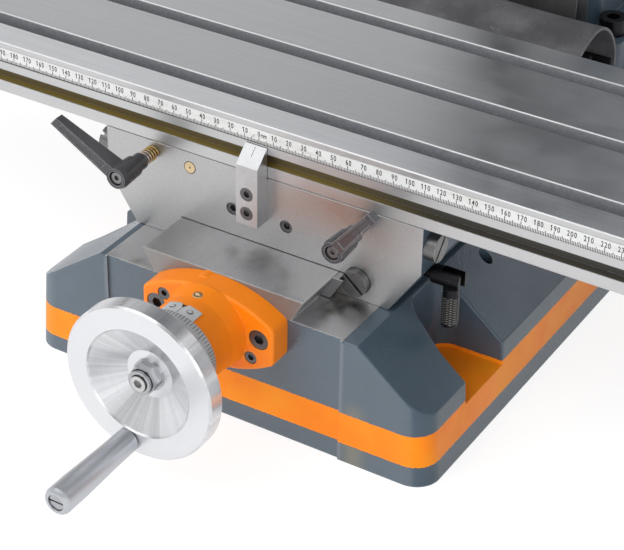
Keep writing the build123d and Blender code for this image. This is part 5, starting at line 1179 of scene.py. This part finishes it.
# Dark rings of painted shade in the gaps of the cross handwheel's lock nut
make_nut_shade_rings("cross_nut_rings", "cross_screw", at(0.0, dial_low.y, screw_height))
for make in (make_pointer_line, make_index_notch, make_oil_plug, make_ball_oiler, make_lock_knurl,
             make_way_cover, make_clamp_strips, make_motor_details, make_cover_screws, make_control_panel,
             make_column_scale):
    make()


# Light, floor and camera

def make_floor():
    """Pale floor, seen as white and giving only a little light back to the machine."""
    bpy.ops.object.select_all(action="DESELECT")
    bpy.ops.mesh.primitive_plane_add(size=14.0)
    floor = bpy.context.object
    floor.name = "studio_floor"
    coat = Finish("studio_floor", 1 * MM)
    path = coat.add("LightPath").outputs
    seen = coat.math("MAXIMUM", path["Is Camera Ray"], path["Is Glossy Ray"])
    coat.set(base_color=coat.as_grey(coat.blend(seen, 0.90, 0.28)), roughness=0.9,
             emission_color=(1.0, 1.0, 1.0, 1.0), emission_strength=coat.math("MULTIPLY", seen, 0.82))
    floor.data.materials.append(coat.material)


def make_lamp(name, place, target, size, power):
    data = bpy.data.lights.new(name, "AREA")
    data.shape = "RECTANGLE"
    data.size, data.size_y = size
    data.energy = power
    lamp = bpy.data.objects.new(name, data)
    bpy.context.scene.collection.objects.link(lamp)
    lamp.location = place
    lamp.rotation_euler = (Vector(target) - Vector(place)).to_track_quat("-Z", "Y").to_euler()


def make_world():
    """White studio: metal sees it greyer overhead and behind the column; light comes from the front left."""
    world = bpy.data.worlds.new("studio")
    bpy.context.scene.world = world
    world.use_nodes = True
    nodes = Nodes(world.node_tree)
    back = world.node_tree.nodes["Background"]
    direction = nodes.add("TexCoord").outputs["Generated"]
    x, y, z = nodes.split(direction)
    overhead = nodes.ramp(z, 0.15, 0.75, 1.0, 0.42)
    behind = nodes.every(nodes.ramp(y, 0.3, 0.6), nodes.ramp(x, -0.52, -0.20))
    tone = nodes.math("MULTIPLY", overhead, nodes.blend(behind, 1.0, 0.5))
    ahead = nodes.ramp(y, 0.0, -0.4)
    tone = nodes.blend(ahead, tone, nodes.ramp(z, 0.05, 0.40, 1.0, 0.45))
    path = nodes.add("LightPath").outputs
    tone = nodes.math("MAXIMUM", tone, path["Is Camera Ray"])
    nodes.put(back.inputs["Color"], nodes.as_grey(tone))
    front_left = (-0.55, -0.80, 0.22)
    fill = nodes.ramp(nodes.vector("DOT_PRODUCT", direction, front_left), 0.1, 0.9, 0.36, 3.2)
    seen = nodes.math("MAXIMUM", path["Is Glossy Ray"], path["Is Transmission Ray"])
    seen = nodes.math("MAXIMUM", path["Is Camera Ray"], seen)
    nodes.put(back.inputs["Strength"], nodes.blend(seen, fill, 1.0))


def make_camera():
    """Camera of the photograph, worked out from the machine's own sizes in it."""
    yaw, pitch, roll = -30.91, -33.15, 1.13
    data = bpy.data.cameras.new("photo_camera")
    data.lens = 119.8
    data.sensor_width = 36.0
    data.clip_start = 0.05
    camera = bpy.data.objects.new("photo_camera", data)
    bpy.context.scene.collection.objects.link(camera)
    turn = turned_by(-yaw, "Z") @ turned_by(90.0 + pitch, "X") @ turned_by(roll, "Z")
    camera.matrix_world = at(0.5686, -1.0949, 0.7670) @ turn
    bpy.context.scene.camera = camera


make_floor()
make_world()
make_lamp("key_softbox", (-1.1, -1.5, 2.1), (0.0, -0.1, 0.15), (2.4, 1.6), 18.0)
make_lamp("side_softbox", (1.7, -1.9, 1.0), (0.0, 0.0, 0.2), (1.8, 1.6), 11.0)
make_lamp("top_softbox", (0.4, -0.4, 2.6), (0.0, -0.1, 0.2), (2.2, 2.2), 8.0)
make_lamp("back_softbox", (1.6, 2.0, 1.6), (0.0, 0.0, 0.4), (1.4, 1.4), 8.0)
make_camera()

bpy.context.scene.view_settings.view_transform = "Standard"
